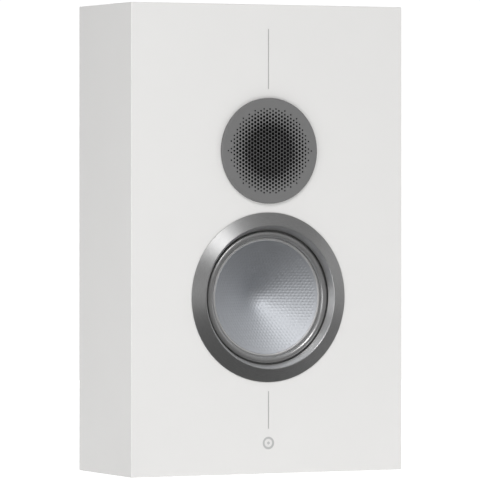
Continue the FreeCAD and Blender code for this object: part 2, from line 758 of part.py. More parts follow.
def knob(x):
    """A fluted grip nut, bored right through so that a plug can enter the post."""
    end = knob_depth + KNOB_LENGTH
    band_front, band_back = knob_band_span()
    nut = disc(KNOB_RADIUS, knob_depth, end, x, TRAY_HEIGHT)
    nut = nut.makeChamfer(KNOB_CHAMFER, [edge for edge in nut.Edges if is_round(edge)])
    nut = nut.cut(disc(POST_RADIUS + RUNNING_GAP, knob_depth, end, x, TRAY_HEIGHT))
    groove_bottom = KNOB_RADIUS - BAND_DEPTH
    nut = nut.cut(ring(KNOB_RADIUS + BAND_DEPTH, groove_bottom, band_front, band_back, x, TRAY_HEIGHT))
    flute_front = knob_depth + FLUTE_FRONT_MARGIN
    flute_back = end - FLUTE_BACK_MARGIN
    flute_centres = KNOB_RADIUS + FLUTE_SHARE * FLUTE_RADIUS
    for flute_x, flute_z in ring_places(KNOB_FLUTES, flute_centres, x, TRAY_HEIGHT):
        nut = nut.cut(disc(FLUTE_RADIUS, flute_front, flute_back, flute_x, flute_z))
    return nut


def is_round(edge):
    return edge.Curve.TypeId == "Part::GeomCircle"


def knob_band(x):
    front, back = knob_band_span()
    return ring(KNOB_RADIUS + BAND_PROUD, KNOB_RADIUS - BAND_DEPTH, front, back, x, TRAY_HEIGHT)


def red_post():
    return post(post_places["red"])


def black_post():
    return post(post_places["black"])


def red_clamp_washer():
    return clamp_washer(post_places["red"])


def black_clamp_washer():
    return clamp_washer(post_places["black"])


def red_knob():
    return knob(post_places["red"])


def black_knob():
    return knob(post_places["black"])


def red_knob_band():
    return knob_band(post_places["red"])


def black_knob_band():
    return knob_band(post_places["black"])


def post_insulators():
    """A flanged bush through the tray's floor and a washer behind it, for each post."""
    pieces = []
    bore = POST_RADIUS + RUNNING_GAP
    for x in post_places.values():
        flange = ring(INSULATOR_RADIUS, bore, tray_floor_back, post_collar_depth, x, TRAY_HEIGHT)
        sleeve = ring(INSULATOR_SLEEVE, bore, tray_floor_front, tray_floor_back, x, TRAY_HEIGHT)
        pieces.append(fused([flange, sleeve]))
        washer_front = tray_floor_front - INSULATOR_FLANGE
        pieces.append(ring(INSULATOR_RADIUS, bore, washer_front, tray_floor_front, x, TRAY_HEIGHT))
    return group(pieces)


def hexagon_nut(x, depth_low, depth_high):
    corners = [at(px, depth_low, pz) for px, pz in ring_places(6, NUT_RADIUS, x, TRAY_HEIGHT)]
    outline = Part.makePolygon(corners + [corners[0]])
    nut = Part.Face(outline).extrude(Vector(0, depth_high - depth_low, 0))
    return nut.cut(disc(POST_RADIUS + RUNNING_GAP, depth_low, depth_high, x, TRAY_HEIGHT))


def post_nuts():
    nuts = []
    for x in post_places.values():
        nuts.append(hexagon_nut(x, lug_depth + LUG_THICKNESS, tray_floor_front - INSULATOR_FLANGE))
        nuts.append(hexagon_nut(x, lug_depth - NUT_THICKNESS, lug_depth))
    return group(nuts)


def solder_lugs():
    """A flat lug clamped between the two nuts of each post, pointing up."""
    lugs = []
    for x in post_places.values():
        back = lug_depth + LUG_THICKNESS
        eye = disc(NUT_RADIUS, lug_depth, back, x, TRAY_HEIGHT)
        tail = slab(
            x - LUG_WIDTH / 2, x + LUG_WIDTH / 2, lug_depth, back,
            TRAY_HEIGHT, TRAY_HEIGHT + LUG_LENGTH)
        lug = fused([eye, tail])
        lugs.append(lug.cut(disc(POST_RADIUS + RUNNING_GAP, lug_depth, back, x, TRAY_HEIGHT)))
    return group(lugs)


# ---------------------------------------------------------------- woofer


def woofer_screw_places():
    return ring_places(WOOFER_SCREW_COUNT, woofer_screw_radius, 0, woofer_z)


def cone_front(radius):
    return CONE_EDGE_DEPTH + (CONE_RADIUS - radius) * cone_rise


def cone_back(radius):
    return cone_front(radius) + cone_wall_depth


def nose_arc(radius):
    """The arc from the cone's wall to its middle, for the front or the back of the sheet."""
    centre = cone_apex_depth - CONE_NOSE_RADIUS
    half = CONE_SLOPE / 2
    return (
        (radius * math.sin(CONE_SLOPE), centre + radius * math.cos(CONE_SLOPE)),
        (radius * math.sin(half), centre + radius * math.cos(half)),
        (0.0, centre + radius),
    )


def woofer_cone():
    """One pressed sheet: a flat lip, a small step and a deep dish that runs on over the coil."""
    lip_back = cone_seat_depth + CONE_WALL
    step_radius = CONE_RADIUS + CONE_STEP
    back_arc = nose_arc(CONE_NOSE_RADIUS + CONE_WALL)
    outline = [
        (lip_radius - MOVING_GAP, cone_seat_depth),
        (step_radius, cone_seat_depth),
        (CONE_RADIUS, CONE_EDGE_DEPTH),
        nose_arc(CONE_NOSE_RADIUS),
        back_arc[::-1],
        (CONE_RADIUS, cone_back(CONE_RADIUS)),
        (step_radius, lip_back),
        (lip_radius - MOVING_GAP, lip_back),
    ]
    return turned(outline, 0, woofer_z)


def woofer_surround():
    """A half roll with a flat flange at each edge: one on the basket, one behind the cone's lip."""
    seat = cone_seat_depth
    middle = lip_radius + ROLL_WIDTH / 2
    wall = SURROUND_WALL
    lip_back = seat + CONE_WALL
    outline = [
        (lip_radius - SURROUND_GLUE_WIDTH + wall, lip_back + wall),
        (lip_radius - SURROUND_GLUE_WIDTH + wall, lip_back),
        (lip_radius, lip_back),
        ((lip_radius, seat), (middle, seat - ROLL_HEIGHT), (roll_radius, seat)),
        (roll_radius + SURROUND_GLUE_WIDTH, seat),
        (roll_radius + SURROUND_GLUE_WIDTH, seat + wall),
        (roll_radius - wall, seat + wall),
        ((roll_radius - wall, seat), (middle, seat - ROLL_HEIGHT + wall), (lip_radius + wall, seat)),
        (lip_radius + wall, lip_back + wall),
    ]
    return turned(outline, 0, woofer_z)


def woofer_trim_ring():
    """A bevelled ring that covers the basket's flange and its screws."""
    slope = math.atan2(RING_CREST_HEIGHT - RING_EDGE_HEIGHT, RING_SLOPE_RUN)
    wall_angle = math.atan2(RING_CREST_HEIGHT + RING_FOOT_DEPTH, RING_WALL_RUN)
    round_off = RING_CREST_RADIUS
    crest = (ring_crest_radius, -RING_CREST_HEIGHT)
    on_slope = (crest[0] + round_off * math.cos(slope), crest[1] + round_off * math.sin(slope))
    on_wall = (crest[0] - round_off * math.cos(wall_angle), crest[1] + round_off * math.sin(wall_angle))
    on_top = (
        (on_slope[0] + on_wall[0] + 2 * crest[0]) / 4,
        (on_slope[1] + on_wall[1] + 2 * crest[1]) / 4,
    )
    under_crest = (ring_crest_radius + RING_WALL / 2, RING_WALL - RING_CREST_HEIGHT + RING_WALL / 2)
    outline = [
        (ring_radius, 0.0),
        (ring_radius, -RING_EDGE_HEIGHT),
        (on_slope, on_top, on_wall),
        (ring_inner_radius, RING_FOOT_DEPTH),
        (ring_inner_radius + RING_WALL, RING_FOOT_DEPTH),
        under_crest,
        (flange_radius + RING_WALL, -RING_WALL / 2),
        (flange_radius + RING_WALL, 0.0),
    ]
    return turned(outline, 0, woofer_z)


def basket_outer(depth):
    """The outer radius of the basket's bowl at a depth between the flange and the floor."""
    share = (depth - window_front_depth) / (basket_floor_front - window_front_depth)
    return basket_radius + share * (basket_floor_radius - basket_radius)


def tinsel_start_radius():
    """Where the leads leave the strip: just outside the bowl, beside a window."""
    return basket_outer(window_back_depth) + DRIVER_CLEARANCE + TINSEL_RADIUS


def woofer_basket():
    """A cast frame: flange, six spokes, a ledge for the spider and a floor for the motor."""
    seat = cone_seat_depth + SURROUND_WALL
    ledge_depth = spider_depth + SPIDER_THICKNESS
    ledge_inner = SPIDER_RADIUS - SPIDER_LEDGE_WIDTH
    outline = [
        (flange_radius, flange_front),
        (flange_radius, flange_back),
        (basket_radius, flange_back),
        (basket_radius, window_front_depth),
        (basket_floor_radius, basket_floor_front),
        (basket_floor_radius, top_plate_depth),
        (MOTOR_RADIUS - 2 * SPIDER_LEDGE_WIDTH, top_plate_depth),
        (MOTOR_RADIUS - 2 * SPIDER_LEDGE_WIDTH, basket_floor_front),
        (ledge_inner, ledge_depth + BASKET_WALL),
        (ledge_inner, ledge_depth),
        (SPIDER_RADIUS + INLAY_GAP, ledge_depth),
        (SPIDER_RADIUS + INLAY_GAP, spider_depth - SPIDER_THICKNESS),
        (roll_radius + RING_INNER_GAP / 2, window_front_depth),
        (roll_radius + RING_INNER_GAP / 2, seat),
        (roll_radius + SURROUND_GLUE_WIDTH + INLAY_GAP, seat),
        (roll_radius + SURROUND_GLUE_WIDTH + INLAY_GAP, flange_front),
    ]
    bowl = turned(outline, 0, woofer_z)
    span = (window_front_depth, window_back_depth)
    windows = ring(flange_radius, MOTOR_RADIUS, *span, 0, woofer_z)
    spoke = slab(0, flange_radius, *span, -SPOKE_WIDTH / 2, SPOKE_WIDTH / 2)
    for index in range(SPOKE_COUNT):
        angle = (index + 0.5) * FULL_TURN / SPOKE_COUNT
        blade = spoke.rotated(Vector(0, 0, 0), Vector(0, 1, 0), angle)
        windows = windows.cut(blade.translated(Vector(0, 0, woofer_z)))
    basket = bowl.cut(windows)
    for x, z in woofer_screw_places():
        basket = basket.cut(disc(SCREW_SHANK_RADIUS + SCREW_GAP, flange_front, flange_back, x, z))
    return basket


def woofer_gasket():
    back = flange_back + WOOFER_GASKET
    gasket = ring(flange_radius, woofer_hole_radius, flange_back, back, 0, woofer_z)
    for x, z in woofer_screw_places():
        gasket = gasket.cut(disc(SCREW_SHANK_RADIUS + SCREW_GAP, flange_back, back, x, z))
    return gasket


def woofer_screws():
    return group([pan_screw(x, z, flange_front) for x, z in woofer_screw_places()])


def woofer_coil_former():
    outline = [
        (former_radius, cone_back(former_radius)),
        (COIL_RADIUS, cone_back(COIL_RADIUS)),
        (COIL_RADIUS, former_back_depth),
        (former_radius, former_back_depth),
    ]
    return turned(outline, 0, woofer_z)


def woofer_voice_coil():
    back = coil_front_depth + COIL_HEIGHT
    return ring(COIL_RADIUS + COIL_BUILD, COIL_RADIUS, coil_front_depth, back, 0, woofer_z)


def woofer_spider():
    """The flat, springy disc that centres the coil: plain here, its ripples are left out."""
    back = spider_depth + SPIDER_THICKNESS
    return ring(SPIDER_RADIUS, COIL_RADIUS + MOVING_GAP, spider_depth, back, 0, woofer_z)


def woofer_top_plate():
    bore = COIL_RADIUS + COIL_BUILD + PLATE_GAP
    return ring(MOTOR_RADIUS, bore, top_plate_depth, magnet_depth, 0, woofer_z)


def woofer_magnet():
    outer = MOTOR_RADIUS + MAGNET_OVERHANG
    return ring(outer, MAGNET_BORE, magnet_depth, back_plate_depth, 0, woofer_z)


def woofer_yoke():
    """The back plate and the pole that stands inside the coil, with a vent through both."""
    plate = disc(MOTOR_RADIUS, back_plate_depth, motor_back_depth, 0, woofer_z)
    pole = disc(pole_radius, pole_top_depth, motor_back_depth, 0, woofer_z)
    vent = disc(POLE_VENT_RADIUS, pole_top_depth, motor_back_depth, 0, woofer_z)
    return fused([plate, pole]).cut(vent)


def woofer_terminal_strip():
    """A small board on the basket's floor, outside the motor, with two solder tags."""
    inner = MOTOR_RADIUS + DRIVER_CLEARANCE
    outer = tinsel_start_radius() + TAG_LENGTH / 2
    back = top_plate_depth + STRIP_THICKNESS
    half = STRIP_WIDTH / 2
    pieces = [slab(-outer, -inner, top_plate_depth, back, woofer_z - half, woofer_z + half)]
    for side in (-1, 1):
        z = woofer_z + side * TAG_PITCH / 2
        pieces.append(slab(
            -outer, -outer + TAG_LENGTH, back, back + TAG_THICKNESS,
            z - TAG_WIDTH / 2, z + TAG_WIDTH / 2))
    return group(pieces)


def woofer_tinsel_leads():
    """Two limp leads from the strip, through a window of the basket, to the coil former."""
    leads = []
    end_radius = COIL_RADIUS + MOVING_GAP
    start_radius = tinsel_start_radius()
    middle_radius = (end_radius + start_radius) / 2
    lead_depth = (cone_back(middle_radius) + spider_depth) / 2
    for side in (-1, 1):
        z = woofer_z + side * TAG_PITCH / 2
        leads.append(tube([
            at(-start_radius, top_plate_depth, z),
            at(-start_radius, lead_depth + TINSEL_SAG, z),
            at(-middle_radius, lead_depth - TINSEL_SAG, z),
            at(-end_radius, lead_depth + TINSEL_SAG, z),
        ], TINSEL_RADIUS))
    return group(leads)


# ---------------------------------------------------------------- tweeter


def tweeter_screw_places():
    return ring_places(TWEETER_SCREW_COUNT, tweeter_screw_radius, 0, tweeter_z, math.pi / 4)


def tweeter_plate():
    """The round cover: a flat perforated sheet with a chamfered rim that stands on the baffle."""
    sheet_back = PLATE_SHEET - PLATE_HEIGHT
    outline = [
        (0.0, -PLATE_HEIGHT),
        (PLATE_RADIUS - PLATE_CHAMFER, -PLATE_HEIGHT),
        (PLATE_RADIUS, PLATE_CHAMFER - PLATE_HEIGHT),
        (PLATE_RADIUS, 0.0),
        (PLATE_RADIUS - PLATE_RIM_WALL, 0.0),
        (PLATE_RADIUS - PLATE_RIM_WALL, sheet_back),
        (0.0, sheet_back),
    ]
    return turned(outline, 0, tweeter_z)


def flare(front_depth, back_depth):
    """The horn's hollow, from its rounded mouth to the slot in front of the pleats."""
    mouth = rounded_outline(MOUTH_WIDTH, MOUTH_HEIGHT, MOUTH_CORNER, front_depth)
    throat = rounded_outline(THROAT_WIDTH, THROAT_HEIGHT, THROAT_CORNER, back_depth)
    return Part.makeLoft([mouth, throat], True, True)


def rounded_outline(width, height, corner, depth):
    plate = rounded_plate(width, height, corner, depth, depth + 1, 0, tweeter_z)
    for face in plate.Faces:
        if abs(face.CenterOfMass.y - (front_y + depth)) < SAME:
            return face.OuterWire


def tweeter_waveguide():
    """The chassis: flange, round body and the flared mouth in front of the pleats."""
    face = CHASSIS_FACE_GAP + PLATE_SHEET - PLATE_HEIGHT
    flange = disc(CHASSIS_RADIUS, 0, CHASSIS_FLANGE, 0, tweeter_z)
    boss = disc(CHASSIS_FACE_RADIUS, face, 0, 0, tweeter_z)
    body = disc(CHASSIS_BODY_RADIUS, 0, CHASSIS_DEPTH, 0, tweeter_z)
    chassis = fused([flange, boss, body])
    chassis = chassis.cut(flare(face, MOUTH_DEPTH))
    throat = rounded_plate(
        THROAT_WIDTH, THROAT_HEIGHT, THROAT_CORNER, MOUTH_DEPTH, CHASSIS_DEPTH, 0, tweeter_z)
    chassis = chassis.cut(throat)
    for x, z in tweeter_screw_places():
        chassis = chassis.cut(disc(SCREW_SHANK_RADIUS + SCREW_GAP, 0, CHASSIS_FLANGE, x, z))
    return chassis


def pole_plate(depth):
    """A steel plate with level slots that let the air out of the pleats."""
    half_w = POLE_PLATE_WIDTH / 2
    half_h = POLE_PLATE_HEIGHT / 2
    back = depth + POLE_PLATE_THICKNESS
    plate = slab(-half_w, half_w, depth, back, tweeter_z - half_h, tweeter_z + half_h)
    pitch = THROAT_HEIGHT / POLE_SLOT_COUNT
    for index in range(POLE_SLOT_COUNT):
        z = tweeter_z + (index - (POLE_SLOT_COUNT - 1) / 2) * pitch
        half = THROAT_WIDTH / 2 - THROAT_CORNER
        bottom = z - POLE_SLOT_HEIGHT / 2
        top = z + POLE_SLOT_HEIGHT / 2
        plate = plate.cut(slab(-half, half, depth, back, bottom, top))
    return plate


def tweeter_pole_plates():
    return group([pole_plate(pole_front_depth), pole_plate(magnet_bar_back)])


def tweeter_magnets():
    """Two bar magnets that hold the pole plates apart, left and right of the pleats."""
    bars = []
    bottom = tweeter_z - POLE_PLATE_HEIGHT / 2
    top = tweeter_z + POLE_PLATE_HEIGHT / 2
    outer = POLE_PLATE_WIDTH / 2
    inner = outer - MAGNET_BAR_WIDTH
    for low, high in ((-outer, -inner), (inner, outer)):
        bars.append(slab(low, high, magnet_bar_front, magnet_bar_back, bottom, top))
    return group(bars)


def tweeter_diaphragm():
    """A thin film folded into level pleats, between the two pole plates."""
    front = magnet_bar_front + DIAPHRAGM_GAP
    back = magnet_bar_back - DIAPHRAGM_GAP
    bottom = tweeter_z - THROAT_HEIGHT / 2 + THROAT_CORNER / 2
    half_pitch = (THROAT_HEIGHT - THROAT_CORNER) / PLEAT_COUNT / 2
    half_width_of_film = POLE_PLATE_WIDTH / 2 - MAGNET_BAR_WIDTH - DIAPHRAGM_GAP
    film_depth = PLEAT_FILM * math.hypot(PLEAT_DEPTH, half_pitch) / half_pitch
    near = []
    for index in range(2 * PLEAT_COUNT + 1):
        depth = front if index % 2 == 0 else back - film_depth
        near.append(at(-half_width_of_film, depth, bottom + index * half_pitch))
    far = [point + Vector(0, film_depth, 0) for point in reversed(near)]
    outline = Part.makePolygon(near + far + [near[0]])
    return Part.Face(outline).extrude(Vector(2 * half_width_of_film, 0, 0))


def tweeter_rear_cover():
    """A cup behind the motor that closes the tweeter off from the woofer's air."""
    end = tweeter_cover_front + TWEETER_COVER_DEPTH
    inner = TWEETER_COVER_RADIUS - TWEETER_COVER_WALL
    cup = disc(TWEETER_COVER_RADIUS, CHASSIS_DEPTH, end, 0, tweeter_z)
    return cup.cut(disc(inner, CHASSIS_DEPTH, end - TWEETER_COVER_WALL, 0, tweeter_z))


def tweeter_gasket():
    back = tweeter_rebate_depth
    gasket = ring(CHASSIS_RADIUS, tweeter_hole_radius, CHASSIS_FLANGE, back, 0, tweeter_z)
    for x, z in tweeter_screw_places():
        gasket = gasket.cut(disc(SCREW_SHANK_RADIUS + SCREW_GAP, CHASSIS_FLANGE, back, x, z))
    return gasket


def tweeter_screws():
    return group([pan_screw(x, z, 0) for x, z in tweeter_screw_places()])


def tweeter_tag_depth():
    return tweeter_cover_front + TWEETER_COVER_DEPTH


def tweeter_terminals():
    """Two push-on tags on the back of the rear cover."""
    tags = []
    depth = tweeter_tag_depth()
    for side in (-1, 1):
        x = side * TAG_PITCH / 2
        half = TAG_THICKNESS / 2
        tags.append(slab(
            x - half, x + half, depth, depth + TAG_LENGTH,
            tweeter_z - TAG_WIDTH / 2, tweeter_z + TAG_WIDTH / 2))
    return group(tags)


# ---------------------------------------------------------------- crossover and wiring


def board_hole_places():
    width = BOARD_WIDTH - 2 * BOARD_HOLE_INSET
    height = BOARD_HEIGHT - 2 * BOARD_HOLE_INSET
    return corner_places(width, height, 0, (board_top + board_bottom) / 2)


def crossover_board():
    half = BOARD_WIDTH / 2
    board = slab(-half, half, board_front_depth, board_back_depth, board_bottom, board_top)
    for x, z in board_hole_places():
        hole = SCREW_SHANK_RADIUS + SCREW_GAP
        board = board.cut(disc(hole, board_front_depth, board_back_depth, x, z))
    return board


def board_standoffs():
    bore = SCREW_SHANK_RADIUS + SCREW_GAP
    places = board_hole_places()
    return group([
        ring(STANDOFF_RADIUS, bore, board_back_depth, back_inner_depth, x, z) for x, z in places
    ])


def board_screws():
    places = board_hole_places()
    return group([pan_screw(x, z, board_front_depth, BOARD_SCREW_LENGTH) for x, z in places])


def inductor_places():
    """Centres of the two coils, in the board's upper corners."""
    large, small = INDUCTOR_RADII
    x = -BOARD_WIDTH / 2 + large + PART_SPACING
    z = board_top - large - 2 * PART_SPACING
    return [(x, z), (x + large + small + PART_SPACING, z)]


def inductor_bobbins():
    bobbins = []
    for (x, z), radius, height in zip(inductor_places(), INDUCTOR_RADII, INDUCTOR_HEIGHTS):
        front = board_front_depth - height
        tube_wall = ring(BOBBIN_CORE_RADIUS, BOBBIN_CORE_RADIUS / 2, front, board_front_depth, x, z)
        near = ring(radius, BOBBIN_CORE_RADIUS / 2, front, front + BOBBIN_FLANGE, x, z)
        far_front = board_front_depth - BOBBIN_FLANGE
        far = ring(radius, BOBBIN_CORE_RADIUS / 2, far_front, board_front_depth, x, z)
        bobbins.append(fused([tube_wall, near, far]))
    return group(bobbins)


def inductor_windings():
    windings = []
    for (x, z), radius, height in zip(inductor_places(), INDUCTOR_RADII, INDUCTOR_HEIGHTS):
        front = board_front_depth - height + BOBBIN_FLANGE
        back = board_front_depth - BOBBIN_FLANGE
        windings.append(ring(radius - BOBBIN_FLANGE, BOBBIN_CORE_RADIUS, front, back, x, z))
    return group(windings)


def capacitor_places():
    """Three capacitors side by side along the board's lower edge."""
    z = board_bottom + 2 * PART_SPACING + CAPACITOR_LENGTH / 2
    pitch = 2 * CAPACITOR_RADIUS + PART_SPACING
    return [((index - 1) * pitch - pitch / 2, z) for index in range(3)]


def capacitors():
    cans = []
    for x, z in capacitor_places():
        base = at(x, board_front_depth - CAPACITOR_RADIUS, z - CAPACITOR_LENGTH / 2)
        can = Part.makeCylinder(CAPACITOR_RADIUS, CAPACITOR_LENGTH, base, Vector(0, 0, 1))
        cans.append(can.makeFillet(CAPACITOR_ROUNDING, [edge for edge in can.Edges if is_round(edge)]))
    return group(cans)


def resistors():
    """Two ceramic power resistors beside the capacitors."""
    width, length = RESISTOR_SIZE
    last_x, z = capacitor_places()[-1]
    bodies = []
    for index in range(2):
        x = last_x + CAPACITOR_RADIUS + PART_SPACING + index * (width + PART_SPACING)
        bodies.append(slab(
            x, x + width, board_front_depth - width, board_front_depth,
            z - length / 2, z + length / 2))
    return group(bodies)


def input_wires():
    """From each lug straight up behind the woofer's motor to the board's lower edge."""
    wires = []
    front = lug_depth - WIRE_RADIUS
    run_depth = board_front_depth - INPUT_WIRE_STAND_OFF
    first_turn, second_turn = INPUT_WIRE_TURNS
    for x in post_places.values():
        start_z = TRAY_HEIGHT + LUG_LENGTH - LUG_WIDTH / 2
        wires.append(tube([
            at(x, front, start_z),
            at(x, front, start_z + INPUT_WIRE_RISE),
            at(x, run_depth, woofer_z + first_turn),
            at(x / 2, run_depth, brace_z + second_turn),
            at(x / 2, wire_pad_depth(), board_bottom + WIRE_PAD_INSET),
        ], WIRE_RADIUS))
    return group(wires)


def wire_pad_depth():
    """Where a wire that is soldered to the board ends."""
    return board_front_depth - WIRE_END_GAP - WIRE_RADIUS


def woofer_wire(side):
    tag_back = top_plate_depth + STRIP_THICKNESS + TAG_THICKNESS
    tag_x = -tinsel_start_radius()
    run_depth = board_front_depth - WOOFER_WIRE_STAND_OFF
    bend_x, bend_z = WOOFER_WIRE_BEND
    x = -BOARD_WIDTH / 2 + WOOFER_WIRE_INSET + side * WOOFER_WIRE_SPREAD
    z = woofer_z + side * TAG_PITCH / 2
    return tube([
        at(tag_x, tag_back, z),
        at(tag_x, tag_back + WOOFER_WIRE_TAIL, z),
        at(x - bend_x, run_depth, z + bend_z),
        at(x, run_depth, brace_z + WOOFER_WIRE_RISE),
        at(x, wire_pad_depth(), board_bottom + WIRE_PAD_INSET),
    ], WIRE_RADIUS)


def tweeter_wire(side):
    tag_x = side * TAG_PITCH / 2
    tag_end = tweeter_tag_depth() + TAG_LENGTH
    bend_x, bend_z = TWEETER_WIRE_BEND
    end_x, end_z = TWEETER_WIRE_END
    return tube([
        at(tag_x, tag_end, tweeter_z),
        at(tag_x, tag_end + TWEETER_WIRE_TAIL, tweeter_z),
        at(tag_x + bend_x, wire_pad_depth() - TWEETER_WIRE_STAND_OFF, tweeter_z + bend_z),
        at(tag_x + end_x, wire_pad_depth(), tweeter_z + end_z),
    ], WIRE_RADIUS)


def driver_wires():
    """From the board to the woofer's strip, and to the tweeter's tags."""
    return group([wire(side) for side in (-1, 1) for wire in (woofer_wire, tweeter_wire)])


SUB_PARTS = [
    front_baffle, left_side_panel, right_side_panel, top_panel, bottom_panel, back_panel,
    window_brace, inlay_lines, round_badge, acoustic_wadding,
    keyhole_plates, keyhole_screws, wall_bumpers,
    terminal_tray, terminal_gasket, terminal_tray_screws, post_insulators, post_nuts, solder_lugs,
    red_post, red_clamp_washer, red_knob, red_knob_band,
    black_post, black_clamp_washer, black_knob, black_knob_band,
    woofer_basket, woofer_gasket, woofer_trim_ring, woofer_screws, woofer_surround, woofer_cone,
    woofer_coil_former, woofer_voice_coil, woofer_spider, woofer_top_plate, woofer_magnet,
    woofer_yoke, woofer_terminal_strip, woofer_tinsel_leads,
    tweeter_plate, tweeter_waveguide, tweeter_pole_plates, tweeter_magnets, tweeter_diaphragm,
    tweeter_rear_cover, tweeter_gasket, tweeter_screws, tweeter_terminals,
    crossover_board, board_standoffs, board_screws, inductor_bobbins, inductor_windings,
    capacitors, resistors, input_wires, driver_wires,
]

for sub_part in SUB_PARTS:
    shape = sub_part()
    name = sub_part.__name__
    shape.exportStep("parts/" + name + ".step")
    print(name, len(shape.Solids), round(shape.Volume), shape.isValid())
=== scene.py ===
# %% [markdown]
# A slim two-way shelf speaker, finished and lit.
# The cabinet, drivers and terminals come in as fixed parts, each on the body it moves with.
# This lesson gives every surface its finish, and rebuilds the pieces whose fine shape shows:
# the perforated tweeter plate, the dimpled metal cone, its rolled surround, the knobs and screws.

# %% Load the frame
import json
import math
import bmesh
import bpy
import numpy as np
from mathutils import Matrix, Vector


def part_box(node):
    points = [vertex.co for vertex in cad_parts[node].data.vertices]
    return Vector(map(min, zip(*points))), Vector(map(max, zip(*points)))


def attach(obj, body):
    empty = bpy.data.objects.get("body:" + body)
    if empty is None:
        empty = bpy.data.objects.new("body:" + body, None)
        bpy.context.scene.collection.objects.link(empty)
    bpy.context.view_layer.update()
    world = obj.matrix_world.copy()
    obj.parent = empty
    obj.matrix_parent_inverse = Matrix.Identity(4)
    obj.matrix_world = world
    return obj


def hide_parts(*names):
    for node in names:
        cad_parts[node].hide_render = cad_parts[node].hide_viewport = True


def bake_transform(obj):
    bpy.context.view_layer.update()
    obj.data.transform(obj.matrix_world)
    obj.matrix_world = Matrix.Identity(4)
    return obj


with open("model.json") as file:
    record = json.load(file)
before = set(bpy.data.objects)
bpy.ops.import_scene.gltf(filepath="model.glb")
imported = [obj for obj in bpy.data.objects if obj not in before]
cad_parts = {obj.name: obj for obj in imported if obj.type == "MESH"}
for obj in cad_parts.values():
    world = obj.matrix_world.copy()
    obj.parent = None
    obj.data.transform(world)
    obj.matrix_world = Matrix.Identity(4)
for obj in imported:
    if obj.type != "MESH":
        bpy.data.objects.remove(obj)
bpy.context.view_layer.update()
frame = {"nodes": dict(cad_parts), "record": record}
NODES = frame["nodes"]
MM = 0.001
WELD = 1e-6  # corners nearer than this are one corner


# %% [markdown]
# Every place below comes from a part's own box, so the looks stay on the frame if a size changes.
# A driver's axis runs through the middle of its box, along Y, and +Y points to the back.

# %% Places read from the parts
def corners(node):
    """The lowest and highest corners of a part's box."""
    low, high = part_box(node)
    return Vector(low), Vector(high)


def middle(node):
    """The centre of a part's box."""
    low, high = corners(node)
    return (low + high) / 2


def half_width(node):
    """Half of a part's width, which is the radius of a round part."""
    low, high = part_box(node)
    return (high[0] - low[0]) / 2


woofer_axis = middle("woofer_trim_ring")
tweeter_axis = middle("tweeter_plate")
face_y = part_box("front_baffle")[0][1]
print("face", face_y, "woofer", tuple(woofer_axis), "tweeter", tuple(tweeter_axis))


# %% [markdown]
# Materials and Geometry Nodes trees are both graphs of nodes, so one short helper builds both.
# It makes a node, sets its options, then links or fills its inputs.

# %% A helper for node graphs
def add(tree, kind, inputs=None, **options):
    node = tree.nodes.new(kind)
    for name, value in options.items():
        setattr(node, name, value)
    for name, value in (inputs or {}).items():
        if isinstance(value, bpy.types.Node):
            value = value.outputs[0]
        if isinstance(value, bpy.types.NodeSocket):
            tree.links.new(value, node.inputs[name])
        else:
            node.inputs[name].default_value = value
    return node


def math_node(tree, operation, first, second=0.0, **options):
    return add(tree, "ShaderNodeMath", {0: first, 1: second}, operation=operation, **options)


# %% [markdown]
# Round parts such as rings, cones and rolls are turned on a lathe: a closed outline of
# radius and depth is carried round the axis. The same helper makes all of them.

# %% A helper that turns an outline
def placed(name, data):
    """A new object in the scene."""
    thing = bpy.data.objects.new(name, data)
    bpy.context.scene.collection.objects.link(thing)
    return thing


def mesh_object(name, points, faces):
    mesh = bpy.data.meshes.new(name)
    mesh.from_pydata(points, [], faces)
    return placed(name, mesh)


def smoothed(thing, sharp):
    """Shades a piece smooth, except across edges sharper than the angle."""
    thing.data.polygons.foreach_set("use_smooth", [True] * len(thing.data.polygons))
    thing.data.set_sharp_from_angle(angle=math.radians(sharp))
    return thing


def clean(thing, sharp=32.0):
    """Merges doubled corners, turns faces outwards and keeps edges sharper than the angle."""
    work = bmesh.new()
    work.from_mesh(thing.data)
    bmesh.ops.remove_doubles(work, verts=work.verts, dist=WELD)
    bmesh.ops.recalc_face_normals(work, faces=work.faces)
    work.to_mesh(thing.data)
    work.free()
    return smoothed(thing, sharp)


def turned(name, outline, axis, steps=256, closed=True):
    """outline is a list of (radius, y) in metres; axis is any point on the turning axis."""
    outline = np.array(outline, float)
    count = len(outline)
    turn = np.linspace(0, 2 * math.pi, steps, endpoint=False)
    x = axis[0] + np.outer(np.cos(turn), outline[:, 0])
    z = axis[2] + np.outer(np.sin(turn), outline[:, 0])
    y = np.tile(outline[:, 1], (steps, 1))
    points = np.stack([x, y, z], axis=-1).reshape(-1, 3)
    step, spot = np.meshgrid(np.arange(steps), np.arange(count if closed else count - 1), indexing="ij")
    after, beside = (step + 1) % steps, (spot + 1) % count
    faces = np.stack([step * count + spot, step * count + beside,
                      after * count + beside, after * count + spot], axis=-1).reshape(-1, 4)
    return mesh_object(name, points.tolist(), faces.tolist())


def arc(start, top, end, count):
    """Points on the circle through three (radius, y) points, from start to end."""
    (ax, ay), (bx, by), (cx, cy) = start, top, end
    span = 2 * (ax * (by - cy) + bx * (cy - ay) + cx * (ay - by))
    a, b, c = ax * ax + ay * ay, bx * bx + by * by, cx * cx + cy * cy
    ux = (a * (by - cy) + b * (cy - ay) + c * (ay - by)) / span
    uy = (a * (cx - bx) + b * (ax - cx) + c * (bx - ax)) / span
    radius = math.hypot(ax - ux, ay - uy)
    first = math.atan2(ay - uy, ax - ux)
    half = (math.atan2(by - uy, bx - ux) - first + math.pi) % (2 * math.pi) - math.pi
    last = (math.atan2(cy - uy, cx - ux) - first) % (2 * math.pi)
    if half < 0:
        last -= 2 * math.pi
    return [(ux + radius * math.cos(first + last * i / count),
             uy + radius * math.sin(first + last * i / count)) for i in range(count + 1)]


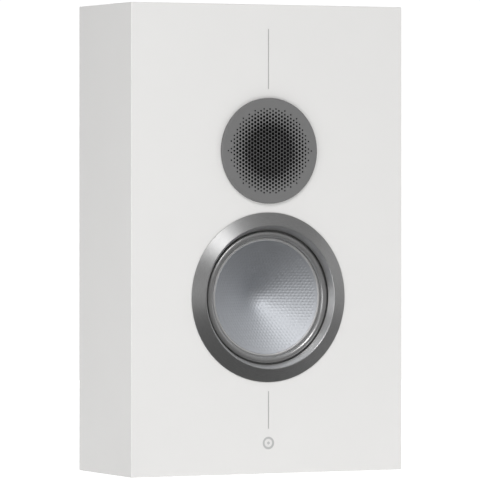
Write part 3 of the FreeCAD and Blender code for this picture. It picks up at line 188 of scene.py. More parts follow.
# %% [markdown]
# A Geometry Nodes tree is run on a small base object, and its result is kept as a plain mesh.
# The modifier's inputs are found by name once and set by their identifiers before it runs.

# %% A helper that runs a tree and keeps its mesh
def new_tree(name, **sizes):
    """A geometry tree with named inputs. Returns the tree and its input and output nodes."""
    tree = bpy.data.node_groups.new(name, "GeometryNodeTree")
    tree.interface.new_socket("Geometry", in_out="INPUT", socket_type="NodeSocketGeometry")
    tree.interface.new_socket("Geometry", in_out="OUTPUT", socket_type="NodeSocketGeometry")
    for title, value in sizes.items():
        kind = "NodeSocketInt" if isinstance(value, int) else "NodeSocketFloat"
        if isinstance(value, bpy.types.Material):
            kind = "NodeSocketMaterial"
        socket = tree.interface.new_socket(title.replace("_", " "), in_out="INPUT", socket_type=kind)
        socket.default_value = value
    return tree, add(tree, "NodeGroupInput"), add(tree, "NodeGroupOutput")


def ended(tree, end, shape, material):
    """Ends a tree with real geometry in one material."""
    real = add(tree, "GeometryNodeRealizeInstances", {"Geometry": shape})
    coat = add(tree, "GeometryNodeSetMaterial", {"Geometry": real, "Material": material})
    tree.links.new(coat.outputs[0], end.inputs[0])
    return tree


def grown(name, tree, base, **sizes):
    """Runs the tree on base and returns its result as a new plain mesh object."""
    modifier = base.modifiers.new("grow", "NODES")
    modifier.node_group = tree
    wanted = {title.replace("_", " "): value for title, value in sizes.items()}
    for item in tree.interface.items_tree:
        if item.item_type == "SOCKET" and item.in_out == "INPUT" and item.name in wanted:
            modifier[item.identifier] = wanted[item.name]
    graph = bpy.context.evaluated_depsgraph_get()
    mesh = bpy.data.meshes.new_from_object(base.evaluated_get(graph))
    mesh.name = name
    thing = placed(name, mesh)
    bpy.data.objects.remove(base)
    return thing


# %% [markdown]
# A finish is a Principled shader with small, real faults: a colour that wanders, a roughness
# that isn't even, and a grain in the surface. Patterns use Object coordinates in metres, so a
# noise scale of 800 has features about a millimetre across.

# %% A helper for finishes
class Finish:
    """A material under construction. Constant values are set on the shader's own sockets."""

    def __init__(self, name, **sockets):
        self.material = bpy.data.materials.new(name)
        self.material.use_nodes = True
        self.tree = self.material.node_tree
        self.shader = self.tree.nodes["Principled BSDF"]
        self.place = add(self.tree, "ShaderNodeTexCoord").outputs["Object"]
        for socket, value in sockets.items():
            self.shader.inputs[socket.replace("_", " ")].default_value = value

    def add(self, kind, inputs=None, **options):
        return add(self.tree, kind, inputs, **options)

    def mapped(self, centre=(0, 0, 0), scale=(1, 1, 1), turn=(0, 0, 0)):
        """Object coordinates centred on a point, then scaled and turned."""
        moved = self.add("ShaderNodeVectorMath", {0: self.place, 1: tuple(centre)},
                         operation="SUBTRACT")
        return self.add("ShaderNodeMapping", {"Vector": moved, "Scale": scale, "Rotation": turn})

    def from_axis(self, axis):
        """The distance from an axis that runs along Y."""
        flat = self.mapped(axis, (1, 0, 1))
        return self.add("ShaderNodeVectorMath", {0: flat}, operation="LENGTH").outputs["Value"]

    def noise(self, scale, vector=None, detail=3.0, roughness=0.55):
        return self.add("ShaderNodeTexNoise", {
            "Vector": vector or self.place, "Scale": scale, "Detail": detail, "Roughness": roughness})

    def ranged(self, value, low, high, start=0.3, end=0.7):
        return self.add("ShaderNodeMapRange", {
            "Value": value, "From Min": start, "From Max": end, "To Min": low, "To Max": high})

    def mixed(self, share, first, second):
        """A colour between two colours."""
        inputs = {0: share, 6: first, 7: second}
        return self.add("ShaderNodeMix", inputs, data_type="RGBA").outputs[2]

    def shaded(self, pattern, colour, dark, light):
        """One colour, made darker and lighter by a pattern."""
        return self.mixed(self.ranged(pattern, 0, 1), shade(colour, dark), shade(colour, light))

    def colour(self):
        """The socket that the base colour comes from so far."""
        return self.shader.inputs["Base Color"].links[0].from_socket

    def set(self, socket, value):
        out = value.outputs[0] if isinstance(value, bpy.types.Node) else value
        self.tree.links.new(out, self.shader.inputs[socket])
        return self

    def bump(self, height, strength, distance):
        under = self.shader.inputs["Normal"].links
        node = self.add("ShaderNodeBump", {
            "Height": height, "Strength": strength, "Distance": distance})
        if under:
            self.tree.links.new(under[0].from_socket, node.inputs["Normal"])
        return self.set("Normal", node)


def shade(colour, factor):
    """A colour made lighter or darker, with its alpha."""
    return tuple(min(1.0, c * factor) for c in colour[:3]) + (1.0,)


def moulded(name, colour, roughness=0.45, grain=900, depth=0.02, wander=0.06):
    """Moulded plastic, cast metal or paint: a fine pebbled skin and a colour that wanders."""
    made = Finish(name, Roughness=roughness)
    cloud = made.noise(22, detail=4)
    made.set("Base Color", made.shaded(cloud, colour, 1 - wander, 1 + wander))
    skin = made.noise(grain, detail=2)
    made.set("Roughness", made.ranged(skin, roughness - 0.05, roughness + 0.05))
    made.bump(skin, 0.35, depth * MM)
    return made


def plated(name, colour, roughness=0.28, along=(1, 1, 1), grain=600):
    """Bare or plated metal with fine drawn lines; along stretches the lines."""
    made = Finish(name, Metallic=1.0)
    lines = made.noise(grain, made.mapped(scale=along), detail=4)
    cloud = made.noise(40, detail=3)
    made.set("Base Color", made.shaded(cloud, colour, 0.9, 1.08))
    made.set("Roughness", made.ranged(lines, roughness - 0.06, roughness + 0.1))
    made.bump(lines, 0.25, 0.01 * MM)
    return made


def dress(finish, *nodes):
    """Gives a carried-over part its finish."""
    for node in nodes:
        mesh = NODES[node].data
        mesh.materials.clear()
        mesh.materials.append(finish.material)
    return finish


# %% [markdown]
# The cabinet is fibreboard, sprayed with satin white lacquer and rubbed down. Sprayed lacquer
# isn't a mirror: it has a very fine orange peel, a few mm across, and its gloss wanders a little.

# %% White lacquer
def lacquer(name, colour, roughness):
    made = Finish(name, Specular_IOR_Level=0.45, Coat_Weight=0.12, Coat_Roughness=0.3)
    cloud = made.noise(9, detail=2)
    made.set("Base Color", made.shaded(cloud, colour, 0.99, 1.005))
    peel = made.noise(420, detail=2, roughness=0.4)
    made.set("Roughness", made.ranged(peel, roughness - 0.03, roughness + 0.03))
    made.bump(peel, 0.12, 0.02 * MM)
    return made


SPRAYED_WHITE = (0.76, 0.755, 0.745, 1)
FACE_PANELS = ("front_baffle", "left_side_panel", "right_side_panel", "top_panel", "bottom_panel")
dress(lacquer("white lacquer", SPRAYED_WHITE, 0.42), *FACE_PANELS)
dress(lacquer("back lacquer", SPRAYED_WHITE, 0.5), "back_panel")
print("lacquered", len(FACE_PANELS) + 1, "panels")


# %% [markdown]
# The two hairlines are satin grey strips let into the face. The badge is a white disc with a
# grey ring and a grey dot printed on it. Both marks go by the distance from the disc's centre,
# so they are exact circles without a picture of them.

# %% Inlay lines and badge
inlay_metal = plated("inlay metal", (0.47, 0.46, 0.46, 1), 0.5, (1, 1, 0.04))
inlay_metal.shader.inputs["Metallic"].default_value = 0.3
dress(inlay_metal, "inlay_lines")

PRINTED_RING = 0.66  # the ring runs from this share of the radius to the edge
PRINTED_DOT = 0.24  # the dot ends at this share
badge_face = moulded("badge face", SPRAYED_WHITE, 0.42, grain=900, depth=0.01)
badge_radius = half_width("round_badge")
from_centre = badge_face.from_axis(middle("round_badge"))
ring_mark = math_node(badge_face.tree, "GREATER_THAN", from_centre, PRINTED_RING * badge_radius)
dot_mark = math_node(badge_face.tree, "LESS_THAN", from_centre, PRINTED_DOT * badge_radius)
printed = math_node(badge_face.tree, "MAXIMUM", ring_mark, dot_mark)
badge_face.set("Base Color", badge_face.mixed(printed, badge_face.colour(), (0.5, 0.5, 0.5, 1)))
dress(badge_face, "round_badge")
print("badge radius", round(badge_radius / MM, 1))


# %% [markdown]
# The bevelled ring around the woofer is turned aluminium, brushed while it spins, and tinted
# dark. Its lines run round the ring, so a lamp's light smears across them into bright fans.
# The smear follows the radius: the shader's tangent is the direction away from the axis.
# Fine grooves come from a noise that varies quickly with the radius and slowly round the ring.
# The steep wall inside the crest is painted a lighter tone than the slope, a painted highlight
# for the light that the wall catches, so the tone splits there.

# %% Metal that was brushed while it turned
def spun_metal(name, axis, colour, inside, inner_colour, roughness, anisotropy, groove, strength,
               turn):
    """Metal in two tones, one inside a radius. groove and turn: lines across and round it."""
    made = Finish(name, Metallic=1.0, Anisotropic=anisotropy)
    away = made.add("ShaderNodeVectorMath", {0: made.place, 1: tuple(axis)}, operation="SUBTRACT")
    flat = made.add("ShaderNodeVectorMath", {0: away, 1: (1, 0, 1)}, operation="MULTIPLY")
    radius = made.add("ShaderNodeVectorMath", {0: flat}, operation="LENGTH").outputs["Value"]
    made.set("Tangent", made.add("ShaderNodeVectorMath", {0: flat}, operation="NORMALIZE"))
    spots = made.add("ShaderNodeSeparateXYZ", {0: flat})
    angle = math_node(made.tree, "ARCTAN2", spots.outputs["Z"], spots.outputs["X"])
    track = made.add("ShaderNodeCombineXYZ", {
        "X": math_node(made.tree, "MULTIPLY", radius, groove),
        "Y": math_node(made.tree, "MULTIPLY", angle, turn), "Z": away})
    lines = made.noise(1.0, track, detail=3, roughness=0.6)
    # Both callers use the lighter tone as a painted highlight: on the ring's inner wall and the cone's
    # lip.
    outer_tone = made.shaded(lines, colour, 0.82, 1.12)
    within = math_node(made.tree, "LESS_THAN", radius, inside)
    inner_tone = made.shaded(lines, inner_colour, 0.9, 1.06)
    made.set("Base Color", made.mixed(within, outer_tone, inner_tone))
    made.set("Roughness", made.ranged(lines, roughness - 0.05, roughness + 0.06))
    made.bump(lines, strength, 0.01 * MM)
    return made


RING_SLOPE_RUN = 14.4 * MM
ring_crest = half_width("woofer_trim_ring") - RING_SLOPE_RUN
# The inner tone is lighter than the slope's: a painted highlight on the steep wall inside the crest.
ring_metal = spun_metal(
    "spun ring metal", woofer_axis, (0.54, 0.54, 0.54, 1), ring_crest, (0.74, 0.74, 0.74, 1),
    roughness=0.42, anisotropy=0.7, groove=5000, strength=0.35, turn=14.0)
dress(ring_metal, "woofer_trim_ring")
print("ring crest radius", round(ring_crest / MM, 1))


# %% [markdown]
# The tweeter sits behind a round steel plate punched with 473 holes in a honeycomb lattice.
# The holes are widest over the diaphragm and shrink towards the tips of the pattern, which is
# a hexagon with stepped sides. Drilling every hole with a boolean would be slow and rough.
# Geometry Nodes place one circle on each lattice point, fill the sheet between the circles
# with faces, and give it thickness, so the sheet is one closed, clean mesh.
# The lacquer is painted darker towards the middle, a painted shade for the dark space seen through
# the widest holes. The sheet's back and the walls of the holes are painted nearly black, a painted
# shade where the room's light hardly reaches.

# %% The lattice of holes
HOLE_PITCH = 4.05 * MM
HOLES_IN_COLUMN = [23, 22, 23, 22, 21, 22, 19, 20, 17, 18, 15, 12, 9]
OUTER_ROWS = {13: (-2.5, -0.5, 0.5, 2.5), 14: (0,)}
# Distance from the middle and width of a hole, in millimetres.
GROWTH = [(0.0, 3.46), (26.0, 3.46), (30.0, 3.36), (34.5, 3.06), (38.6, 2.76), (40.0, 2.5),
          (45.0, 1.8), (50.0, 1.6)]


def hole_lattice():
    """(x, z) offsets from the plate's centre, and each hole's radius, in metres."""
    spots = []
    last = max(OUTER_ROWS)
    for column in range(-last, last + 1):
        at = abs(column)
        rows = OUTER_ROWS.get(at)
        if rows is None:
            count = HOLES_IN_COLUMN[at]
            rows = [row - (count - 1) / 2 for row in range(count)]
        spots += [(column * HOLE_PITCH * math.sqrt(3) / 2, row * HOLE_PITCH) for row in rows]
    distances = [math.hypot(*spot) / MM for spot in spots]
    widths = np.interp(distances, [r for r, _ in GROWTH], [w for _, w in GROWTH])
    return spots, widths * MM / 2


hole_spots, hole_radii = hole_lattice()
print("holes", len(hole_spots))

# %% The punched sheet
plate_low, plate_high = corners("tweeter_plate")
plate_radius = (plate_high.x - plate_low.x) / 2
PLATE_CHAMFER = 1.0 * MM
PLATE_SHEET = 0.7 * MM
PLATE_RIM_WALL = 2.6 * MM
PLATE_STEPS = 256


def perforating_tree():
    """Circles on points, filled between with a sheet, which is then thickened."""
    tree, start, end = new_tree("perforated sheet", Sheet_radius=0.05, Sheet_thickness=0.001,
                                Rim_sides=256, Hole_sides=20)
    size = add(tree, "GeometryNodeInputNamedAttribute", {"Name": "hole radius"}, data_type="FLOAT")
    hole = add(tree, "GeometryNodeCurvePrimitiveCircle", {
        "Resolution": start.outputs["Hole sides"], "Radius": 1.0}, mode="RADIUS")
    holes = add(tree, "GeometryNodeInstanceOnPoints", {
        "Points": start.outputs["Geometry"], "Instance": hole, "Scale": size})
    cut = add(tree, "GeometryNodeRealizeInstances", {"Geometry": holes})
    rim = add(tree, "GeometryNodeCurvePrimitiveCircle", {
        "Resolution": start.outputs["Rim sides"], "Radius": start.outputs["Sheet radius"]},
        mode="RADIUS")
    lines = add(tree, "GeometryNodeJoinGeometry")
    tree.links.new(cut.outputs[0], lines.inputs[0])
    tree.links.new(rim.outputs[0], lines.inputs[0])
    face = add(tree, "GeometryNodeFillCurve", {"Curve": lines}, mode="TRIANGLES")
    raised = add(tree, "GeometryNodeExtrudeMesh", {
        "Mesh": face, "Offset Scale": start.outputs["Sheet thickness"], "Individual": False})
    back = add(tree, "GeometryNodeFlipFaces", {"Mesh": face})
    both = add(tree, "GeometryNodeJoinGeometry")
    tree.links.new(raised.outputs[0], both.inputs[0])
    tree.links.new(back.outputs[0], both.inputs[0])
    solid = add(tree, "GeometryNodeMergeByDistance", {"Geometry": both, "Distance": WELD})
    return ended(tree, end, solid, plate_paint.material)


PLATE_GREY = (0.165, 0.165, 0.165, 1)
# The middle's darker grey is painted shade, for the dark space behind the widest holes.
CORE_SHADE_GREY = (0.08, 0.08, 0.08, 1)
SHADED_BLACK = (0.006, 0.006, 0.006, 1)
SHADE_FULL, SHADE_GONE = 24 * MM, 32 * MM
FACE_SKIN = 0.1 * MM
plate_paint = moulded("plate paint", PLATE_GREY, 0.6, grain=2600, depth=0.03, wander=0.03)
# Painted shade: faces behind the front skin and inside the rim, which are the sheet's back and the hole
# walls, are painted nearly black.
behind = plate_paint.add("ShaderNodeSeparateXYZ", {0: plate_paint.mapped((0, plate_low.y, 0))})
behind_face = math_node(plate_paint.tree, "GREATER_THAN", behind.outputs["Y"], FACE_SKIN)
from_middle = plate_paint.from_axis(tweeter_axis)
in_rim = math_node(plate_paint.tree, "LESS_THAN", from_middle, plate_radius - 1.5 * PLATE_CHAMFER)
punched = math_node(plate_paint.tree, "MULTIPLY", behind_face, in_rim)
# Painted shade: the plate grey fades to the darker middle grey towards the centre.
core_shade = plate_paint.ranged(from_middle, 1, 0, SHADE_FULL, SHADE_GONE)
shade_toned = plate_paint.mixed(core_shade, plate_paint.colour(), CORE_SHADE_GREY)
plate_paint.set("Base Color", plate_paint.mixed(punched, shade_toned, SHADED_BLACK))
spots = mesh_object("hole spots", [(x, z, 0) for x, z in hole_spots], [])
spots.data.attributes.new("hole radius", "FLOAT", "POINT").data.foreach_set("value", hole_radii)
sheet = grown("punched sheet", perforating_tree(), spots,
              Sheet_radius=plate_radius - PLATE_CHAMFER, Sheet_thickness=PLATE_SHEET,
              Rim_sides=PLATE_STEPS, Hole_sides=20)
print("sheet faces", len(sheet.data.polygons))

# %% The plate's rim, joined to the sheet
# The sheet was made lying down: it is stood up with its face to the front, and its outer wall
# is taken off so that the turned rim closes it.
front = plate_low.y
sheet.data.transform(Matrix.Translation((tweeter_axis.x, front + PLATE_SHEET, tweeter_axis.z))
                     @ Matrix.Rotation(math.radians(90), 4, "X"))
inner = plate_radius - PLATE_CHAMFER
foot = plate_radius - PLATE_RIM_WALL
rim = turned("plate rim", [
    (inner, front), (plate_radius, front + PLATE_CHAMFER), (plate_radius, plate_high.y),
    (foot, plate_high.y), (foot, front + PLATE_SHEET + 0.4 * MM), (inner, front + PLATE_SHEET)],
    tweeter_axis, PLATE_STEPS, closed=False)


def joined(name, things, finish):
    """One clean mesh from several, in one finish."""
    work = bmesh.new()
    for thing in things:
        work.from_mesh(thing.data)
        bpy.data.objects.remove(thing)
    mesh = bpy.data.meshes.new(name)
    work.to_mesh(mesh)
    work.free()
    mesh.materials.append(finish.material)
    mesh.polygons.foreach_set("material_index", [0] * len(mesh.polygons))
    return clean(placed(name, mesh))


work = bmesh.new()
work.from_mesh(sheet.data)
outer = [face for face in work.faces if abs(face.normal.y) < 0.5 and
         math.hypot(face.calc_center_median().x - tweeter_axis.x,
                    face.calc_center_median().z - tweeter_axis.z) > inner - 0.5 * MM]
bmesh.ops.delete(work, geom=outer, context="FACES")
work.to_mesh(sheet.data)
work.free()
plate = joined("perforated_plate", [sheet, rim], plate_paint)
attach(plate, "cabinet")
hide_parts("tweeter_plate")
print("plate faces", len(plate.data.polygons), "outer wall faces removed", len(outer))


# %% [markdown]
# The woofer's cone is pressed from thin metal sheet. It has a straight wall, a rounded nose in
# place of a dust cap, and shallow dimples in a honeycomb lattice that stiffen it. A fine grid
# is turned first. Geometry Nodes then push each point back by how near it is to a lattice
# point, so the dimples go right through the sheet and keep its thickness.
# A small round bead runs along the lip, and catches the light as a bright line. The lip is also
# painted a lighter metal than the cone, a painted highlight that adds to that line.

# %% The cone's outline
CONE_RADIUS = 60.5 * MM
CONE_EDGE = 4.5 * MM
CONE_SLOPE = math.radians(31.0)
CONE_NOSE = 25.0 * MM
CONE_WALL = 0.5 * MM
CONE_STEP = 0.5 * MM
CONE_BEAD = 0.8 * MM
lip_outer = half_width("woofer_cone")
nose_centre = CONE_EDGE + CONE_RADIUS * math.tan(CONE_SLOPE) - CONE_NOSE / math.cos(CONE_SLOPE)


def cone_depth(radius, offset=0.0):
    """How far the cone's front is behind the baffle's face, offset along the wall's normal."""
    nose = CONE_NOSE + offset
    if radius < nose * math.sin(CONE_SLOPE):
        return nose_centre + math.sqrt(nose * nose - radius * radius)
    return CONE_EDGE + (CONE_RADIUS - radius) * math.tan(CONE_SLOPE) + offset / math.cos(CONE_SLOPE)


CONE_RINGS = 104
front_line = [(CONE_RADIUS * i / CONE_RINGS, face_y + cone_depth(CONE_RADIUS * i / CONE_RINGS))
              for i in range(CONE_RINGS + 1)]
lip_face = face_y + CONE_EDGE + CONE_STEP
bead_start, bead_top, bead_end = (CONE_RADIUS + out * MM for out in (0.4, 1.5, 2.6))
lip_line = [(CONE_RADIUS + 0.15 * MM, lip_face - CONE_STEP * 0.1)]
lip_line += arc((bead_start, lip_face), (bead_top, lip_face - CONE_BEAD), (bead_end, lip_face), 10)
lip_line += [(lip_outer, lip_face),
             (lip_outer, lip_face + CONE_WALL),
             (CONE_RADIUS - 0.6 * MM, lip_face + CONE_WALL)]
back_line = [(r, face_y + cone_depth(r, CONE_WALL)) for r in
             np.linspace(CONE_RADIUS - 1.2 * MM, 0, 40)]
cone_blank = turned("cone blank", front_line + lip_line + back_line, woofer_axis, steps=576,
                    closed=False)
clean(cone_blank, sharp=50)
print("cone blank faces", len(cone_blank.data.polygons))

# %% Pressing the dimples
DIMPLE_PITCH = 3.6 * MM
DIMPLE_MARGIN = 2.2 * MM


def dimple_spots():
    """Lattice points with level rows, kept clear of the cone's edge."""
    reach = CONE_RADIUS - DIMPLE_MARGIN
    columns = int(reach / DIMPLE_PITCH) + 1
    rows = int(reach / (DIMPLE_PITCH * math.sqrt(3) / 2))
    found = []
    for row in range(-rows, rows + 1):
        for column in range(-columns, columns + 1):
            x = (column + 0.5 * (row % 2)) * DIMPLE_PITCH
            z = row * DIMPLE_PITCH * math.sqrt(3) / 2
            if math.hypot(x, z) < reach:
                found.append((x + woofer_axis.x, 0.0, z + woofer_axis.z))
    return found


def dimple_tree(marks):
    """Moves each point along Y by how near it is to a mark, seen along the axis."""
    tree, start, end = new_tree("dimples", Dimple_radius=0.0015, Dimple_depth=0.0003)
    place = add(tree, "ShaderNodeSeparateXYZ", {0: add(tree, "GeometryNodeInputPosition")})
    flat = add(tree, "ShaderNodeCombineXYZ", {"X": place.outputs["X"], "Z": place.outputs["Z"]})
    target = add(tree, "GeometryNodeObjectInfo", {"Object": marks})
    near = add(tree, "GeometryNodeProximity", target_element="POINTS")
    tree.links.new(target.outputs["Geometry"], near.inputs[0])
    source = [s for s in near.inputs if s.name in ("Source Position", "Sample Position")][0]
    tree.links.new(flat.outputs[0], source)
    share = add(tree, "ShaderNodeMapRange", {
        "Value": near.outputs["Distance"], "From Min": 0.0, "From Max": start.outputs["Dimple radius"],
        "To Min": 1.0, "To Max": 0.0}, interpolation_type="SMOOTHSTEP")
    depth = math_node(tree, "MULTIPLY", share.outputs[0], start.outputs["Dimple depth"])
    push = add(tree, "ShaderNodeCombineXYZ", {"Y": depth})
    moved = add(tree, "GeometryNodeSetPosition", {"Geometry": start.outputs["Geometry"], "Offset": push})
    return ended(tree, end, moved, cone_metal.material)


# The lip outside the cone's radius is painted a lighter metal than the cone, a painted highlight beside
# the one the bead catches.
cone_metal = spun_metal(
    "anodised cone metal", woofer_axis, (0.9, 0.9, 0.9, 1), CONE_RADIUS + 0.1 * MM,
    (0.71, 0.73, 0.765, 1), roughness=0.62, anisotropy=0.0, groove=2500, strength=0.05, turn=2.0)
marks = mesh_object("dimple marks", dimple_spots(), [])
cone = grown("metal_cone", dimple_tree(marks), cone_blank,
             Dimple_radius=1.55 * MM, Dimple_depth=0.32 * MM)
print("dimples", len(marks.data.vertices), "cone faces", len(cone.data.polygons))
bpy.data.objects.remove(marks)
smoothed(cone, 50)
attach(cone, "woofer_cone")
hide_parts("woofer_cone")


# %% [markdown]
# A soft ring joins the cone to the frame: a half roll with a flat flange at each edge. Its
# coating is a grey satin, part metal, so the lamps draw a soft line along the roll.
# The inner edge is held by the cone and the outer edge by the frame, so each point gets a weight
# by its radius: one at the inner edge and none at the outer one.

# %% The rolled surround
LIP = 63.8 * MM
ROLL_WIDTH = 7.2 * MM
ROLL_HEIGHT = 4.6 * MM
ROLL_WALL = 0.6 * MM
ROLL_FLANGE = 3.2 * MM
roll_radius = LIP + ROLL_WIDTH
seat = lip_face
lip_back = seat + CONE_WALL
rubber = moulded("surround rubber", (0.42, 0.42, 0.42, 1), 0.32, grain=1500, depth=0.004)
rubber.shader.inputs["Metallic"].default_value = 0.8
roll = turned("surround_roll", [
    (LIP - ROLL_FLANGE + ROLL_WALL, lip_back + ROLL_WALL), (LIP - ROLL_FLANGE + ROLL_WALL, lip_back),
    (LIP, lip_back)]
    + arc((LIP, seat), (LIP + ROLL_WIDTH / 2, seat - ROLL_HEIGHT), (roll_radius, seat), 28)
    + [(roll_radius + ROLL_FLANGE, seat), (roll_radius + ROLL_FLANGE, seat + ROLL_WALL),
       (roll_radius - ROLL_WALL, seat + ROLL_WALL)]
    + arc((roll_radius - ROLL_WALL, seat), (LIP + ROLL_WIDTH / 2, seat - ROLL_HEIGHT + ROLL_WALL),
          (LIP + ROLL_WALL, seat), 20)
    + [(LIP + ROLL_WALL, lip_back + ROLL_WALL)], woofer_axis, steps=256)
clean(roll, sharp=40)
roll.data.materials.append(rubber.material)


def bend_by_radius(piece, inner, outer):
    """Bakes the piece's place; returns weights, one inside the inner radius, none outside the outer."""
    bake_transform(piece)
    points = np.array([vertex.co for vertex in piece.data.vertices])
    radii = np.hypot(points[:, 0] - woofer_axis.x, points[:, 2] - woofer_axis.z)
    share = np.clip((outer - radii) / (outer - inner), 0, 1)
    weights = (share * share * (3 - 2 * share)).astype(np.float32)
    return weights


weights = bend_by_radius(roll, LIP, roll_radius)
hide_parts("woofer_surround")
print("surround faces", len(roll.data.polygons), "weights", weights.min(), weights.max())


# %% [markdown]
# A cloth spider with round corrugations keeps the coil centred. It is turned as a wavy sheet,
# so that its ribs are real, and its weights by radius are worked out as the surround's are.

# %% The corrugated spider
SPIDER_GLUE = 0.35 * MM
spider_low, spider_high = corners("woofer_spider")
spider_outer = (spider_high.x - spider_low.x) / 2
spider_inner = half_width("woofer_coil_former") + SPIDER_GLUE
SPIDER_RIBS = 5
SPIDER_WAVE = 1.0 * MM
SPIDER_LAND = 4.5 * MM


def spider_line(base_y, samples=60):
    """A flat land at each edge and a row of waves between them."""
    line = []
    for radius in np.linspace(spider_inner, spider_outer, samples):
        span = (radius - spider_inner - SPIDER_LAND) / (spider_outer - spider_inner - 2 * SPIDER_LAND)
        wave = math.sin(span * SPIDER_RIBS * 2 * math.pi) if 0 < span < 1 else 0.0
        line.append((radius, base_y + SPIDER_WAVE * wave))
    return line


weave = Finish("spider cloth", Roughness=0.9)
threads = [weave.add("ShaderNodeTexWave", {"Vector": weave.place, "Scale": 500.0, "Distortion": 0.6},
                     bands_direction=axis) for axis in ("X", "Z")]
crossed = math_node(weave.tree, "MAXIMUM", threads[0].outputs["Fac"], threads[1].outputs["Fac"])
weave.set("Base Color", weave.mixed(crossed, (0.16, 0.09, 0.035, 1), (0.42, 0.27, 0.11, 1)))
weave.bump(crossed, 0.5, 0.08 * MM)
spider = turned("corrugated_spider", spider_line(spider_low.y) + spider_line(spider_high.y)[::-1],
                woofer_axis, steps=128)
clean(spider, sharp=60)
spider.data.materials.append(weave.material)
bend_by_radius(spider, spider_inner + 2 * MM, spider_outer - SPIDER_LAND)
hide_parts("woofer_spider")
print("spider faces", len(spider.data.polygons))

# %% The tinsel leads
# The leads run from the fixed strip to the moving coil former, so their weights go by their radius too.
tinsel = NODES["woofer_tinsel_leads"].copy()
tinsel.data = tinsel.data.copy()
tinsel.name = "woven_tinsel_leads"
tinsel.parent = None
for key in list(tinsel.keys()):
    del tinsel[key]
bpy.context.scene.collection.objects.link(tinsel)
braid = Finish("tinsel braid", Metallic=1.0)
strands = braid.add("ShaderNodeTexWave", {"Vector": braid.mapped(turn=(0, 0, 0.8)), "Scale": 900.0,
                                          "Distortion": 2.0})
braid.set("Base Color", braid.mixed(strands.outputs["Color"], (0.45, 0.2, 0.09, 1), (0.85, 0.5, 0.3, 1)))
braid.set("Roughness", braid.ranged(strands.outputs["Fac"], 0.3, 0.5, 0, 1))
braid.bump(strands.outputs["Fac"], 0.5, 0.05 * MM)
tinsel.data.materials.clear()
tinsel.data.materials.append(braid.material)
tinsel_outer = max(math.hypot(vertex.co.x - woofer_axis.x, vertex.co.z - woofer_axis.z)
                   for vertex in tinsel.data.vertices)
bend_by_radius(tinsel, spider_inner + 3 * MM, tinsel_outer - 4 * MM)
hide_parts("woofer_tinsel_leads")
print("lead faces", len(tinsel.data.polygons))


# %% [markdown]
# The back carries the terminal tray. Each post has a clamp nut with a fluted grip, a coloured
# ring and a washer. A turned body is fluted by a rule: Geometry Nodes pull each point in
# towards the axis where a cosine of its angle is high, and only along the grip.

# %% Fluted knobs
def fluting_tree(material):
    tree, start, end = new_tree("flutes", Flutes=14, Flute_depth=0.0008, Axis_X=0.0, Axis_Z=0.0,
                                Grip_start=0.0, Grip_end=0.1, Fade=0.001, Core=0.006)
    get = start.outputs
    at = add(tree, "ShaderNodeSeparateXYZ", {0: add(tree, "GeometryNodeInputPosition")}).outputs
    x = math_node(tree, "SUBTRACT", at["X"], get["Axis X"])
    z = math_node(tree, "SUBTRACT", at["Z"], get["Axis Z"])
    turn = math_node(tree, "MULTIPLY", math_node(tree, "ARCTAN2", z, x), get["Flutes"])
    wave = math_node(tree, "MAXIMUM", math_node(tree, "COSINE", turn), 0.0)
    valley = math_node(tree, "POWER", wave, 1.4)
    away = add(tree, "ShaderNodeCombineXYZ", {"X": x, "Z": z})
    radius = add(tree, "ShaderNodeVectorMath", {0: away}, operation="LENGTH").outputs["Value"]
    full_from = math_node(tree, "ADD", get["Grip start"], get["Fade"])
    full_to = math_node(tree, "SUBTRACT", get["Grip end"], get["Fade"])
    begin = add(tree, "ShaderNodeMapRange", {
        "Value": at["Y"], "From Min": get["Grip start"], "From Max": full_from},
        interpolation_type="SMOOTHSTEP")
    finish = add(tree, "ShaderNodeMapRange", {
        "Value": at["Y"], "From Min": full_to, "From Max": get["Grip end"],
        "To Min": 1.0, "To Max": 0.0}, interpolation_type="SMOOTHSTEP")
    outer = math_node(tree, "GREATER_THAN", radius, get["Core"])
    depth = math_node(tree, "MULTIPLY", math_node(tree, "MULTIPLY", begin, finish),
                      math_node(tree, "MULTIPLY", valley, outer))
    pull = math_node(tree, "MULTIPLY", depth, math_node(tree, "MULTIPLY", get["Flute depth"], -1.0))
    way = add(tree, "ShaderNodeVectorMath", {0: away}, operation="NORMALIZE")
    push = add(tree, "ShaderNodeVectorMath", {0: way, "Scale": pull}, operation="SCALE")
    moved = add(tree, "GeometryNodeSetPosition", {"Geometry": get["Geometry"], "Offset": push})
    return ended(tree, end, moved, material)


